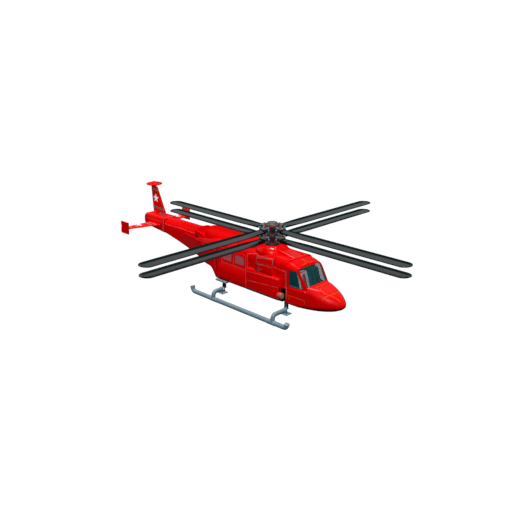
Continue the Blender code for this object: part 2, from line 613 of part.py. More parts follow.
def build_tail():
    loft("aft_fuselage", hull_rings(AFT_STATIONS), RED, smooth=35)
    boom = [(BOOM_START - GAP, *BOOM_STATIONS[0][1:]), *BOOM_STATIONS[1:]]
    loft("tail_boom", hull_rings(boom), RED, smooth=35)
    #        x, half-width, bottom, top, low corner w and h, high corner w and h
    box = (
        (BOX_START, 0.40, 1.84, BOX_TOP, 0.06, 0.06, 0.16, 0.16),
        (-7.10, 0.39, 1.98, BOX_TOP, 0.06, 0.06, 0.16, 0.16),
        (-7.27, 0.34, 2.04, 2.50, 0.10, 0.10, 0.18, 0.18),
        (TAIL_END_X, 0.24, 2.10, 2.44, 0.10, 0.10, 0.14, 0.14),
    )
    loft("tail_box", hull_rings(box), RED, smooth=35)

    #      x front, x rear, z of the fin
    fin = ((-5.98, -6.95, BOX_TOP + GAP), (-6.04, -6.97, 2.72), (-6.58, -7.06, FIN_TOP))
    rings = []
    for front, rear, z in fin:
        long = front - rear
        shape = ((front, 0.012), (front - 0.12 * long, FIN_THICK / 2), (rear + 0.4 * long, FIN_THICK / 2),
                 (rear, 0.01), (rear, -0.01), (rear + 0.4 * long, -FIN_THICK / 2),
                 (front - 0.12 * long, -FIN_THICK / 2), (front, -0.012))
        rings.append([(x, y, z) for x, y in shape])
    loft("tail_fin", rings, RED)
    disc_stack("fin_cap", (-6.82, 0, 0), (
        (FIN_TOP + GAP, 0.10), (3.93, 0.12), (3.94, 0.36), (3.98, 0.376), (4.00, 0.30), (4.005, 0.09), (4.07, 0.08)),
        RED, sides=20)

    #      distance out, leading x, trailing x
    wing = ((0.30, -5.95, -6.80), (1.80, -6.41, -6.84))
    rings = []
    for out, front, rear in wing:
        long = front - rear
        half = STAB_THICK / 2
        shape = ((front, 0.008), (front - 0.15 * long, half), (rear + 0.4 * long, half * 0.9), (rear, 0.006),
                 (rear, -0.006), (rear + 0.4 * long, -half * 0.9), (front - 0.15 * long, -half), (front, -0.008))
        rings.append([(x, -out, STAB_Z + z) for x, z in shape])
    stabiliser = loft("stabiliser_starboard", rings, RED)
    plate = ((-7.07, 1.885), (-6.50, 1.885), (-6.48, 2.44), (-7.05, 2.44), (-7.05, 2.24), (-7.00, 2.21), (-7.05, 2.18))
    combine(stabiliser, loft("box_form", hull_rings(box, -GAP, 0.001), RED))
    combine(stabiliser, prism("end_plate", plate, "y", -1.79, -1.84, RED), "UNION")
    mirrored(stabiliser, "stabiliser_port")


def sweep_straight(name, ends, radius):
    """Straight round piece on the starboard skid's axis."""
    return sweep(name, [(ends[0], -SKID_Y, AXIS_Z), (ends[1], -SKID_Y, AXIS_Z)], [radius] * 2, STEEL_BLUE)


def arc_points(centre, radius, start, end, steps):
    """Points round an arc in the plane of two coordinates, angles in degrees."""
    points = []
    for i in range(steps + 1):
        angle = math.radians(start + (end - start) * i / steps)
        points.append((centre[0] + radius * math.cos(angle), centre[1] + radius * math.sin(angle)))
    return points


def build_gear():
    """Skid tubes with flanged ends that turn up, and the arms and struts that carry the hull."""
    runs = []
    for side, x, stub in ((-1, SKID[0], SKID_STUB[0]), (1, SKID[1], SKID_STUB[1])):
        bend = arc_points((x, AXIS_Z + SKID_BEND), SKID_BEND, -90, -90 + side * SKID_RISE, 4)
        rise = math.radians(SKID_RISE)
        end_x, end_z = bend[-1]
        run = [(point, SKID_TUBE) for point in bend]
        for length, radius in ((stub - 0.03, SKID_TUBE), (stub - 0.029, FLANGE), (stub, FLANGE)):
            point = (end_x + side * length * math.cos(rise), end_z + length * math.sin(rise))
            run.append((point, radius))
        runs.append(run)
    run = runs[0][::-1] + runs[1]
    path = [(x, -SKID_Y, z) for (x, z), radius in run]
    tube = sweep("skid_tube_starboard", path, [radius for point, radius in run], STEEL_BLUE)
    mirrored(tube, "skid_tube_port")

    for place, x, y, sleeve_from, sleeve_to, strut_x, strut_y in GEAR:
        curve = arc_points((SKID_Y - ARM_BEND, ARM_Z - ARM_BEND), ARM_BEND, 90, 0, 4)
        run = [(x, -y - 0.075, ARM_Z)] + [(x, -out, z) for out, z in curve] + [(x, -SKID_Y, AXIS_Z)]
        arm = sweep(f"skid_arm_{place}_starboard", run, [ARM_PIPE] * len(run), STEEL_BLUE)
        sleeve = sweep_straight("sleeve", (sleeve_from, sleeve_to), SLEEVE)
        combine(arm, sleeve, "UNION")
        combine(arm, sweep_straight("bore", (sleeve_from - 0.1, sleeve_to + 0.1), SKID_TUBE + GAP))
        bracket = block("bracket", (x - 0.075, -y - 0.095, PAD_Z - PAD_THICK / 2),
                        (x + 0.075, -y - 0.015, ARM_Z + 0.08), STEEL_BLUE)
        combine(arm, bracket, "UNION")
        pad = block("pad", (x - PAD_HALF, -y - PAD_HALF, PAD_Z - PAD_THICK / 2),
                    (x + PAD_HALF, -y + PAD_HALF, PAD_Z + PAD_THICK / 2), STEEL_BLUE)
        combine(arm, pad, "UNION")
        mirrored(arm, f"skid_arm_{place}_port")
        build_strut(place, strut_x, strut_y)


def build_strut(place, x, y):
    """Damper with a ball foot on the pad, between two side bars that end in a clamp."""
    foot = PAD_Z + PAD_THICK / 2 + GAP
    ball = foot + STRUT_BALL
    top = NICHE[3] - 0.12 if place == "front" else BELLY_Z - GAP
    #       z, radius up the damper
    strut = disc_stack(f"strut_{place}_starboard", (x, -y, 0), (
        (foot, 0.022), (foot + 0.012, 0.034), (ball, STRUT_BALL), (ball + 0.025, 0.032), (ball + 0.035, STRUT_ROD),
        (STRUT_CLAMP_Z, STRUT_ROD), (STRUT_CLAMP_Z + 0.01, STRUT_TUBE), (top - 0.03, STRUT_TUBE)),
        BLACK, sides=10)
    for side in (-1, 1):
        bar = block("bar", (x + side * 0.075 - 0.012, -y - 0.03, STRUT_CLAMP_Z),
                    (x + side * 0.075 + 0.012, -y + 0.03, top - 0.02), BLACK)
        combine(strut, bar, "UNION")
    clamp = block("clamp", (x - 0.095, -y - 0.033, STRUT_CLAMP_Z - 0.02),
                  (x + 0.095, -y + 0.033, STRUT_CLAMP_Z + 0.02), BLACK)
    combine(strut, clamp, "UNION")
    if place == "front":
        low, high = (x - 0.10, -y - 0.05, top - 0.04), (x + 0.10, -NICHE[2] - GAP, top)
    else:
        low, high = (-1.66, -0.80, top - 0.06), (-1.02, -0.52, top)
    combine(strut, block("head", low, high, BLACK), "UNION")
    mirrored(strut, f"strut_{place}_port")


def blade_rings(plane_z):
    """Thick root that widens to the full chord, with a ridge at mid chord and a half-round tip."""
    #       r, half-chord, thickness
    rows = [(BLADE_ROOT + GAP, 0.20, 0.14), (1.10, 0.25, 0.10), (1.65, BLADE_HALF, BLADE_THICK)]
    for angle in (0, 30, 55, 75, 87):
        turn = math.radians(angle)
        along = ROTOR_RADIUS - BLADE_HALF * (1 - math.sin(turn) / math.sin(math.radians(87)))
        rows.append((along, BLADE_HALF * math.cos(turn), BLADE_THICK * (0.4 + 0.6 * math.cos(turn))))
    rings = []
    for r, half, thick in rows:
        shape = ((half, 0.0), (half * 0.55, thick * 0.36), (0.0, thick * 0.5), (-half * 0.6, thick * 0.22),
                 (-half, 0.0), (-half * 0.6, -thick * 0.2), (0.0, -thick * 0.4), (half * 0.55, -thick * 0.32))
        rings.append([(r, y, plane_z + z) for y, z in shape])
    return rings


def build_rotor(name, plane_z, capped):
    """Drum on a shaft with grips between plates, four blades and, on the upper one, a stepped cap."""
    low, high = plane_z - HUB_BELOW[capped], plane_z + HUB_RISE
    hub = disc_stack(f"{name}_hub", (MAST_X, 0, 0), (
        (low, HUB_RADIUS - 0.03), (low + 0.03, HUB_RADIUS), (high - 0.03, HUB_RADIUS), (high, HUB_RADIUS - 0.03)),
        HUB_METAL, sides=16)
    for size in ((BLADE_ROOT, 0.17), (0.17, BLADE_ROOT)):
        for z in (plane_z - 0.105, plane_z + 0.075):
            plates = block("plates", (MAST_X - size[0], -size[1], z),
                           (MAST_X + size[0], size[1], z + 0.03), HUB_METAL)
            combine(hub, plates, "UNION")
    for quarter in range(4):
        turn = Matrix.Translation((MAST_X, 0, 0)) @ Matrix.Rotation(quarter * math.pi / 2, 4, "Z")
        grip = block("grip", (0.20, -0.12, plane_z - 0.08), (BLADE_ROOT, 0.12, plane_z + 0.08), HUB_METAL)
        grip.data.transform(turn)
        combine(hub, grip, "UNION")
    shaft = INNER_SHAFT if capped else OUTER_SHAFT
    combine(hub, disc_stack("shaft", (MAST_X, 0, 0), (
        (GEARBOX_TOP + GAP, shaft), (plane_z, shaft)), HUB_METAL, sides=16), "UNION")
    if capped:
        cap = disc_stack("cap", (MAST_X, 0, 0), (
            (high - 0.02, 0.30), (high + 0.01, 0.31), (high + 0.03, 0.25), (CAP_TOP - 0.02, 0.20),
            (CAP_TOP, 0.195)), HUB_METAL, sides=20)
        combine(hub, cap, "UNION")
    else:
        bore = disc_stack("bore", (MAST_X, 0, 0), ((2.0, SHAFT_BORE), (4.0, SHAFT_BORE)), HUB_METAL, sides=16)
        combine(hub, bore)
    for quarter in range(4):
        blade = loft(f"{name}_blade_{quarter + 1}", blade_rings(plane_z), BLADE_GREY, smooth=20)
        turn = Matrix.Translation((MAST_X, 0, 0)) @ Matrix.Rotation(quarter * math.pi / 2, 4, "Z")
        blade.data.transform(turn)


build_cockpit()
build_cabin()
build_doors()
build_sides()
build_top()
build_tail()
build_gear()
build_rotor("lower_rotor", LOWER_Z, capped=False)
build_rotor("upper_rotor", UPPER_Z, capped=True)
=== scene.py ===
# %% [markdown]
# # A helicopter with two rotors on one mast
# The solids of the aircraft are loaded as a fixed frame. Every cell below either gives one of those
# solids its finish or lays a finer piece over it, in the same metres: +X to the nose, +Y to port, +Z up.

# %% Load the frame
import json
import math

import bmesh
import bpy
from mathutils import Matrix, Vector
from mathutils.bvhtree import BVHTree


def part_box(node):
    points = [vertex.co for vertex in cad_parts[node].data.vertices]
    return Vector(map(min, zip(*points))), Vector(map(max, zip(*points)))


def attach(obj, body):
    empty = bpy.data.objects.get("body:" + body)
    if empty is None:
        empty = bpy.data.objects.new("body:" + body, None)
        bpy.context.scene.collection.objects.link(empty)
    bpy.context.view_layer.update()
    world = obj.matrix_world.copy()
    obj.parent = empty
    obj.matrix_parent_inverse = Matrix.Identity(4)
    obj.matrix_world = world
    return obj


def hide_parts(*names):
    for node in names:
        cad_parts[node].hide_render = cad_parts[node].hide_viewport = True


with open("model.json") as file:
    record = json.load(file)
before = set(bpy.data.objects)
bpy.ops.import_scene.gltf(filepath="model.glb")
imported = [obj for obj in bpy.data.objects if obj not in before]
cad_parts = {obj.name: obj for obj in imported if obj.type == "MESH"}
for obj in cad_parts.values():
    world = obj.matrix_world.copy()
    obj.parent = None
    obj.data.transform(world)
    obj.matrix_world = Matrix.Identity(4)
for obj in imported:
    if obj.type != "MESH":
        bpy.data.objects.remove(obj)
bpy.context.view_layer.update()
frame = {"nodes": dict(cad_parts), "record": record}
nodes = frame["nodes"]
body_of = {node: body for body, group in frame["record"]["behaviour"]["bodies"].items() for node in group}

# %% [markdown]
# ## Camera
# A camera's place can be worked out from a picture when some lengths repeat in it. The blades of the two
# rotors all have one length and lie in two level planes, so their tips fix the height, the distance and
# the lens. The view is from the front right, 18.5 degrees above the horizon.

# %% Camera
CAMERA_PLACE = Vector((18.20, -18.20, 10.58))
CAMERA_TARGET = Vector((0.0, 0.0, 1.95))
LENS_MM = 46.07


def linked(name, data):
    """New object in the scene for a mesh, a lamp or a camera."""
    thing = bpy.data.objects.new(name, data)
    bpy.context.scene.collection.objects.link(thing)
    return thing


def aim(thing, place, target):
    thing.location = place
    thing.rotation_euler = (target - place).to_track_quat("-Z", "Y").to_euler()
    return thing


camera = bpy.data.cameras.new("camera")
camera.lens = LENS_MM
bpy.context.scene.camera = aim(linked("camera", camera), CAMERA_PLACE, CAMERA_TARGET)
bpy.context.scene.view_settings.view_transform = "Standard"
print("camera:", round((CAMERA_TARGET - CAMERA_PLACE).length, 2), "m from its target")

# %% [markdown]
# ## Colours and nodes
# Colours are written as sRGB hex, the way a paint chart gives them, and turned into the linear values
# that a shader needs. One small helper adds any node with its settings and its links, and another starts
# a material with the values that are the same all over its surface.


# %% Colours and nodes
def linear(hex_colour):
    channels = [int(hex_colour[i:i + 2], 16) / 255 for i in (1, 3, 5)]
    return (*(c / 12.92 if c <= 0.04045 else ((c + 0.055) / 1.055) ** 2.4 for c in channels), 1.0)


def add(tree, kind, values=(), links=()):
    """Add a node: values go to sockets or settings by name, links come as (socket, source)."""
    node = tree.nodes.new(kind)
    for key, value in dict(values).items():
        if isinstance(key, int) or key in node.inputs:
            node.inputs[key].default_value = value
        else:
            setattr(node, key, value)
    for key, source in dict(links).items():
        tree.links.new(source, node.inputs[key])
    return node


def new_material(name, values):
    """Material, its node tree and its shader, with the values on the shader's own sockets."""
    material = bpy.data.materials.new(name)
    material.use_nodes = True
    shader = material.node_tree.nodes["Principled BSDF"]
    for socket, value in values.items():
        shader.inputs[socket].default_value = value
    return material, material.node_tree, shader


# %% [markdown]
# ## Studio
# The picture stands on pure white. A white floor that runs up into a far wall gives that, and it is
# hidden from the light that falls on the aircraft. The world behind it is what the paint mirrors: dark
# near the horizon and bright above, so a facet that leans towards the sky shines and one that leans
# away stays dark, which is what makes the two halves of a rotor blade differ.

# %% Studio
SKY = ((0.36, "#181c1e"), (0.50, "#003638"), (0.625, "#0c3234"), (0.665, "#b4babc"), (1.0, "#c0c6ca"))
#        from, strength, degrees across
SUNS = {"key": ((0.42, -0.55, 0.748), 1.62, 14), "rim": ((-0.304, 0.304, 0.903), 1.5, 3)}
#        radius and height of the floor's rings
FLOOR = ((0.01, -0.002), (45, -0.002), (56, 2), (64, 10), (68, 30), (68, 70))
FLOOR_SIDES = 48

world = bpy.data.worlds.new("studio")
world.use_nodes = True
bpy.context.scene.world = world
sky = world.node_tree
direction = add(sky, "ShaderNodeTexCoord").outputs["Generated"]
height = add(sky, "ShaderNodeSeparateXYZ", links={0: direction}).outputs["Z"]
share = add(sky, "ShaderNodeMath", {"operation": "MULTIPLY_ADD", 1: 0.5, 2: 0.5}, {0: height}).outputs[0]
ramp = add(sky, "ShaderNodeValToRGB", links={"Fac": share})
for i, (place, colour) in enumerate(SKY):
    stop = ramp.color_ramp.elements[i] if i < 2 else ramp.color_ramp.elements.new(place)
    stop.position = place
    stop.color = linear(colour)
sky.links.new(ramp.outputs["Color"], sky.nodes["Background"].inputs["Color"])

for name, (start, strength, width) in SUNS.items():
    sun = bpy.data.lights.new(name, "SUN")
    sun.energy = strength
    sun.angle = math.radians(width)
    sun.use_shadow = False
    aim(linked(name, sun), Vector(start), Vector())

paper = new_material("studio_paper", {"Base Color": linear("#202020"), "Specular IOR Level": 0.0,
                                      "Emission Color": linear("#ffffff"), "Emission Strength": 1.02})[0]
turns = [2 * math.pi * i / FLOOR_SIDES for i in range(FLOOR_SIDES)]
bands = [(a * FLOOR_SIDES, (a + 1) * FLOOR_SIDES) for a in range(len(FLOOR) - 1)]
floor = linked("floor", bpy.data.meshes.new("floor"))
floor.data.from_pydata([(r * math.cos(turn), r * math.sin(turn), z) for r, z in FLOOR for turn in turns], [],
                       [(near + i, far + i, far + (i + 1) % FLOOR_SIDES, near + (i + 1) % FLOOR_SIDES)
                        for near, far in bands for i in range(FLOOR_SIDES)])
floor.data.materials.append(paper)
for ray in ("diffuse", "glossy", "shadow"):
    setattr(floor, f"visible_{ray}", False)
print("studio:", len(SUNS), "suns,", len(floor.data.polygons), "floor faces")

# %% [markdown]
# ## Finishes
# Real surfaces are never one flat colour. Each finish below mixes two close colours by a noise whose
# scale is a real size in millimetres, and lets the same noise move the roughness and a shallow bump.
# Orange peel on a sprayed panel is about 3 mm wide, and it is drawn wider so that it shows at all.


# %% Finishes
def finish(name, colour, second, rough, grain_mm, bump_mm=0.0, metallic=0.0, specular=0.5, alpha=1.0,
           glow=0.0):
    """Painted, cast or moulded surface: colour and second are mixed by a noise grain_mm across."""
    material, tree, shader = new_material(name, {
        "Metallic": metallic, "Specular IOR Level": specular, "Alpha": alpha,
        "Emission Color": linear(colour), "Emission Strength": glow})
    place = add(tree, "ShaderNodeTexCoord").outputs["Object"]
    noise = add(tree, "ShaderNodeTexNoise", {"Scale": 1000 / grain_mm, "Detail": 4.0, "Roughness": 0.6},
                {"Vector": place}).outputs[0]
    mixed = add(tree, "ShaderNodeValToRGB", links={"Fac": noise})
    for stop, position, tone in zip(mixed.color_ramp.elements, (0.35, 0.62), (second, colour)):
        stop.position = position
        stop.color = linear(tone)
    tree.links.new(mixed.outputs["Color"], shader.inputs["Base Color"])
    spread = add(tree, "ShaderNodeMapRange", {"To Min": max(rough - 0.05, 0.02), "To Max": rough + 0.07},
                 {"Value": noise})
    tree.links.new(spread.outputs["Result"], shader.inputs["Roughness"])
    if bump_mm:
        fine = add(tree, "ShaderNodeTexNoise", {"Scale": 5000 / grain_mm, "Detail": 2.0}, {"Vector": place})
        bump = add(tree, "ShaderNodeBump", {"Strength": 0.5, "Distance": bump_mm / 1000},
                   {"Height": fine.outputs[0]})
        tree.links.new(bump.outputs["Normal"], shader.inputs["Normal"])
    return material


# Two-pack enamel over aluminium skin: deep, even red with a soft gloss
ENAMEL = finish("red_enamel", "#f80205", "#f00104", 0.34, 60, specular=0.04)
# The dome is wiped clean of grease most often, so it keeps its gloss
ENAMEL_DOME = finish("red_enamel_dome", "#f80205", "#f00104", 0.20, 60, specular=0.16)
# The nose is polished by hand and mirrors a little more of the sky than the sides do
ENAMEL_NOSE = finish("red_enamel_polished", "#f80205", "#f00104", 0.31, 60, specular=0.10)
# Darker red, painted shade on the upper sides of the aft hull beside the exhaust and on the front of the boom
# below its shoulder
ENAMEL_AFT_SHADE = finish("red_enamel_sooted", "#d8181c", "#c61418", 0.45, 90, specular=0.06)
# The same enamel painted darker, as painted shade of lower and inner panels, and rougher where road film
# dulls its gloss
ENAMEL_LOW_SHADE = finish("red_enamel_dulled", "#dc0508", "#c40609", 0.40, 90, 0.05, specular=0.10)
# Polyurethane erosion coating on the blades: near black, satin, mirrors the sky at low angles
BLADE = finish("blade_erosion_coating", "#0b0d0d", "#0a0b0b", 0.10, 300, specular=0.6)
# Machined and primed alloy of the hubs: brown-grey, with turning marks
HUB = finish("hub_primed_alloy", "#7a6a68", "#574746", 0.38, 30, 0.05, metallic=0.3)
HUB_DARK = finish("hub_dark_steel", "#2c3838", "#182222", 0.35, 25, 0.05, metallic=0.3)
# Red oxide primer on hub and strut parts; the same dark maroon is painted shade under the nose and painted
# shadow in the exhaust trough
OXIDE_AND_SHADE = finish("red_oxide_primer", "#6b1216", "#4a0d10", 0.5, 20, 0.05)
CADMIUM = finish("cadmium_olive_plating", "#5d6a1e", "#444d17", 0.4, 12, metallic=0.6)
BLUE_BOLT = finish("blue_torque_sealed_bolt", "#63c8f2", "#3ea9dc", 0.35, 10)
# Satin paint on the skid tubes: blue-grey, rubbed by ground handling
GEAR_PAINT = finish("gear_blue_grey_paint", "#8299a6", "#6f8694", 0.42, 45)
GEAR_CYAN = finish("gear_pale_fitting", "#7fc3cc", "#66aab4", 0.4, 30)
BLACK_PAINT = finish("black_satin_paint", "#0d0f10", "#070809", 0.35, 30, 0.03)
# Black: painted shade in the strut niche and on the sponson's front end, and the black paint of the hub cuffs
BLACK_AND_SHADE = finish("black_recess_paint", "#050707", "#030404", 0.6, 40, 0.03, specular=0.2)
CHROME = finish("hard_chromed_rod", "#c8cccf", "#b2b7ba", 0.14, 15, metallic=1.0)
RUBBER = finish("window_seal_rubber", "#8a2126", "#7a1c20", 0.6, 14, 0.04, specular=0.2)
SEAM_GREY = finish("seam_sealant_grey", "#96787a", "#82686a", 0.55, 18, specular=0.2)
SEAM_ORANGE = finish("seam_sealant_orange", "#e8641c", "#d05818", 0.55, 18, specular=0.2)
SEAM_DARK = finish("seam_shadow_line", "#6d0709", "#5a0507", 0.6, 18, specular=0.1)
RIVET_DARK = finish("weathered_rivet_head", "#5f6a6c", "#4c5658", 0.5, 8)
RIVET = finish("bare_rivet_head", "#f2b8ba", "#e0a4a6", 0.4, 8)
# Dark red with an anti-slip grain on the tops of the steps that stand out of the walls; the dark red is
# painted shade against the light from above
STEP_TOP_SHADE = finish("anti_slip_red_paint", "#8a0506", "#6c0304", 0.8, 12, 0.2, specular=0.1)
LINING = finish("cockpit_lining_vinyl", "#10797c", "#0c6264", 0.7, 12, 0.15, specular=0.1)
TEAL_BAND = finish("teal_band_film", "#15888a", "#127a7c", 0.45, 50, specular=0.2)
# White film that glows a little as painted light, so it reads brighter than its lighting makes it
WHITE_MARK_GLOWING = finish("white_marking_film", "#f4f6f6", "#ecf0f0", 0.4, 50, glow=0.30)
# Dark strip along the belly's lower edge, painted shade where the hull turns under
BELLY_SHADE_STRIP = finish("dark_marking_film", "#463c3e", "#382f31", 0.45, 50)
YELLOW_MARK = finish("yellow_marking_film", "#e6e01c", "#ccc614", 0.45, 50)
LAMP_RED = finish("lamp_red_housing", "#e8506a", "#d23c58", 0.3, 30)
LAMP_RIM = finish("lamp_chromated_rim", "#b9bd3a", "#9ba12d", 0.3, 14, metallic=0.4)
LAMP_LENS = finish("lamp_pressed_glass", "#8ea6b0", "#6b8592", 0.08, 16, 0.4, specular=0.8)
# Grey moulding that glows a little as painted light, so it shows behind the tinted glass
SEAT_SHELL_GLOWING = finish("seat_grey_moulding", "#dfe9ea", "#cfdadb", 0.5, 20, 0.05, glow=0.12)
DASH = finish("instrument_black_moulding", "#0c0e0e", "#080909", 0.55, 10, 0.1)
DIAL = finish("instrument_dial_face", "#27474a", "#1d3537", 0.3, 10)
CAST = finish("engine_iron_casting", "#6c6d6f", "#555658", 0.55, 14, 0.4, metallic=0.5)
ORANGE = finish("orange_handle_moulding", "#e8721c", "#c95f14", 0.4, 12)

# %% [markdown]
# ## Glass and cloth
# The windows are tinted acrylic, dark with a blue-green cast, so only shapes show behind them. A plain
# see-through shader with a dark base does this without noisy refraction. The seats wear a woven cloth:
# two sets of bands cross each other, 3 mm apart in life and 9 mm here so that the weave can be seen.

# %% Glass and cloth
# Bands of the wave texture lie this far apart at a scale of 1
BAND_MM = 314


def weave(name, colour, second, thread_mm):
    material, tree, shader = new_material(name, {"Roughness": 0.9, "Sheen Weight": 0.3})
    place = add(tree, "ShaderNodeTexCoord").outputs["Object"]
    threads = [add(tree, "ShaderNodeTexWave", {"bands_direction": axis, "Scale": BAND_MM / thread_mm,
                                               "Distortion": 0.4}, {"Vector": place}).outputs["Fac"]
               for axis in ("Y", "Z")]
    crossed = add(tree, "ShaderNodeMath", {"operation": "MULTIPLY"}, enumerate(threads)).outputs[0]
    mixed = add(tree, "ShaderNodeValToRGB", links={"Fac": crossed})
    for stop, tone in zip(mixed.color_ramp.elements, (second, colour)):
        stop.color = linear(tone)
    tree.links.new(mixed.outputs["Color"], shader.inputs["Base Color"])
    bump = add(tree, "ShaderNodeBump", {"Strength": 0.6, "Distance": 0.001}, {"Height": crossed})
    tree.links.new(bump.outputs["Normal"], shader.inputs["Normal"])
    return material


ACRYLIC = finish("tinted_acrylic", "#003c3e", "#003436", 0.06, 900, specular=0.25, alpha=0.34)
# Door panes: pink at 80 per cent cover, painted light that stands for the lit red cabin behind the glass and
# a pale reflected haze
CABIN_ACRYLIC = finish("cabin_acrylic", "#d8666e", "#cc5c64", 0.12, 900, specular=0.3, alpha=0.80)
SEAT_CLOTH = weave("seat_woven_cloth_red", "#f23a48", "#c81e2c", 9)
SEAT_DARK = weave("seat_woven_cloth_teal", "#0e4447", "#0a3335", 9)
BENCH_CLOTH = weave("bench_woven_cloth", "#7a2026", "#5c161b", 9)
print("finishes:", len(bpy.data.materials), "materials")

# %% [markdown]
# ## Making and placing pieces
# A mesh is made from points and faces, its doubles are merged and its faces turned outwards. Plain forms
# are all skins through rings of points. A piece is red enamel unless another finish is named. `settle`
# then says which body a piece rides on and which solid it stands for, so that every later cell is about
# shape alone.


# %% Making and placing pieces
def settle(piece, body, stands_for=()):
    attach(piece, body)
    if stands_for:
        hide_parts(*stands_for)
    return piece


def shade(mesh, angle):
    if angle is not None:
        mesh.shade_smooth()
        mesh.set_sharp_from_angle(angle=math.radians(angle))


def make(name, vertices, faces, material, smooth=None, outward=True):
    mesh = bpy.data.meshes.new(name)
    mesh.from_pydata([tuple(v) for v in vertices], [], faces)
    work = bmesh.new()
    work.from_mesh(mesh)
    bmesh.ops.remove_doubles(work, verts=work.verts, dist=1e-6)
    if outward:
        bmesh.ops.recalc_face_normals(work, faces=work.faces)
    work.to_mesh(mesh)
    work.free()
    mesh.materials.append(material)
    shade(mesh, smooth)
    return linked(name, mesh)


def loft(name, rings, material=ENAMEL, smooth=35):
    """Skin through rings of equally many points, closed at both ends."""
    count = len(rings[0])
    faces = []
    for low in range(0, (len(rings) - 1) * count, count):
        high = low + count
        faces += [(low + j, low + (j + 1) % count, high + (j + 1) % count, high + j) for j in range(count)]
    faces.append(tuple(reversed(range(count))))
    faces.append(tuple(range((len(rings) - 1) * count, len(rings) * count)))
    return make(name, [p for ring in rings for p in ring], faces, material, smooth)


def placed(axis, a, b, along):
    """Point of a section that lies across an axis, at a distance along it."""
    return {"x": (along, a, b), "y": (a, along, b), "z": (a, b, along)}[axis]


def prism(name, outline, axis, start, end, material=ENAMEL, smooth=None):
    rings = [[placed(axis, a, b, along) for a, b in outline] for along in (start, end)]
    return loft(name, rings, material, smooth)


def block(name, low, high, material=ENAMEL, bevel=0.0):
    corners = ((low[1], low[2]), (high[1], low[2]), (high[1], high[2]), (low[1], high[2]))
    return bevelled(prism(name, corners, "x", low[0], high[0], material), bevel)


def turned(name, centre, profile, material=ENAMEL, sides=40, axis="z", smooth=35):
    """Turned piece: profile is (distance along the axis, radius) rows."""
    turns = [2 * math.pi * i / sides for i in range(sides)]
    rings = [[Vector(centre) + Vector(placed(axis, radius * math.cos(turn), radius * math.sin(turn), along))
              for turn in turns] for along, radius in profile]
    return loft(name, rings, material, smooth)


def rod(name, centre, radius, start, end, material=ENAMEL, sides=24, axis="z"):
    """Plain round piece between two distances along its axis."""
    return turned(name, centre, ((start, radius), (end, radius)), material, sides, axis)


def applied(piece):
    """Turn the piece's modifiers into plain mesh."""
    bpy.context.view_layer.update()
    mesh = bpy.data.meshes.new_from_object(piece.evaluated_get(bpy.context.evaluated_depsgraph_get()))
    piece.modifiers.clear()
    piece.data = mesh
    return piece


def modified(piece, kind, **settings):
    """Apply one modifier with its settings."""
    step = piece.modifiers.new(kind, kind)
    for name, value in settings.items():
        setattr(step, name, value)
    return applied(piece)


def bevelled(piece, width):
    if width:
        modified(piece, "BEVEL", width=width, segments=2, limit_method="ANGLE", angle_limit=math.radians(30))
        shade(piece.data, 40)
    return piece


def cut(piece, tool, operation="DIFFERENCE", smooth=35, solver="EXACT"):
    modified(piece, "BOOLEAN", operation=operation, object=tool, solver=solver)
    bpy.data.objects.remove(tool, do_unlink=True)
    shade(piece.data, smooth)
    return piece


def lined(piece, tool, solver="EXACT"):
    """Cut a room out of a shell and give its walls the lining."""
    piece.data.materials.append(LINING)
    tool.data.materials.clear()
    tool.data.materials.append(piece.data.materials[0])
    tool.data.materials.append(LINING)
    for face in tool.data.polygons:
        face.material_index = 1
    return cut(piece, tool, solver=solver)


def joined(name, pieces):
    """One object from several, with their materials."""
    with bpy.context.temp_override(active_object=pieces[0], selected_editable_objects=pieces):
        bpy.ops.object.join()
    pieces[0].name = name
    return pieces[0]


def mirrored(piece, name):
    """Port piece from a starboard one."""
    mesh = piece.data.copy()
    mesh.transform(Matrix.Scale(-1, 4, Vector((0, 1, 0))))
    mesh.flip_normals()
    return linked(name, mesh)


# %% [markdown]
# ## Hull sections
# A fuselage is a row of frames with a skin over them. Each frame here is a flat-sided section with an
# elliptic corner below and above, given by seven numbers. A smooth curve is run through the frames, so
# the skin between them is round in both directions.

# %% Hull sections
ARC_STEPS = 12
GAP = 0.0003
WALL = 0.045
CABIN_FRONT = 2.40
CABIN_REAR = -1.69
#                half  bottom top   low_w low_h high_w high_h
CABIN_SECTION = (0.77, 0.72, 2.47, 0.14, 0.14, 0.27, 0.31)
#    x     half  bottom top   low_w low_h high_w high_h
NOSE_STATIONS = (
    (4.665, 0.035, 1.035, 1.105, 0.034, 0.034, 0.034, 0.034),
    (4.63, 0.12, 0.98, 1.155, 0.118, 0.086, 0.118, 0.086),
    (4.50, 0.275, 0.875, 1.275, 0.27, 0.20, 0.27, 0.20),
    (4.22, 0.485, 0.765, 1.44, 0.45, 0.32, 0.43, 0.33),
    (3.82, 0.625, 0.695, 1.565, 0.47, 0.34, 0.38, 0.34),
    (3.40, 0.685, 0.67, 1.605, 0.38, 0.28, 0.22, 0.19),
    (2.90, 0.745, 0.68, 1.64, 0.24, 0.20, 0.14, 0.12),
    (CABIN_FRONT + GAP, 0.765, 0.71, 1.64, 0.15, 0.15, 0.12, 0.10),
)
AFT_STATIONS = (
    (CABIN_REAR - GAP, *CABIN_SECTION),
    (-2.10, 0.68, 1.05, 2.40, 0.16, 0.16, 0.31, 0.31),
    (-2.60, 0.60, 1.11, 2.32, 0.16, 0.16, 0.35, 0.31),
    (-3.10, 0.50, 1.22, 2.26, 0.16, 0.16, 0.34, 0.20),
    (-3.3997, 0.44, 1.33, 2.24, 0.12, 0.12, 0.30, 0.18),
)
BOOM_STATIONS = (
    (-3.4003, 0.43, 1.33, 2.53, 0.10, 0.10, 0.42, 0.40),
    (-4.54, 0.42, 1.62, 2.53, 0.10, 0.10, 0.41, 0.39),
    (-5.6897, 0.40, 1.85, 2.53, 0.10, 0.10, 0.39, 0.37),
)


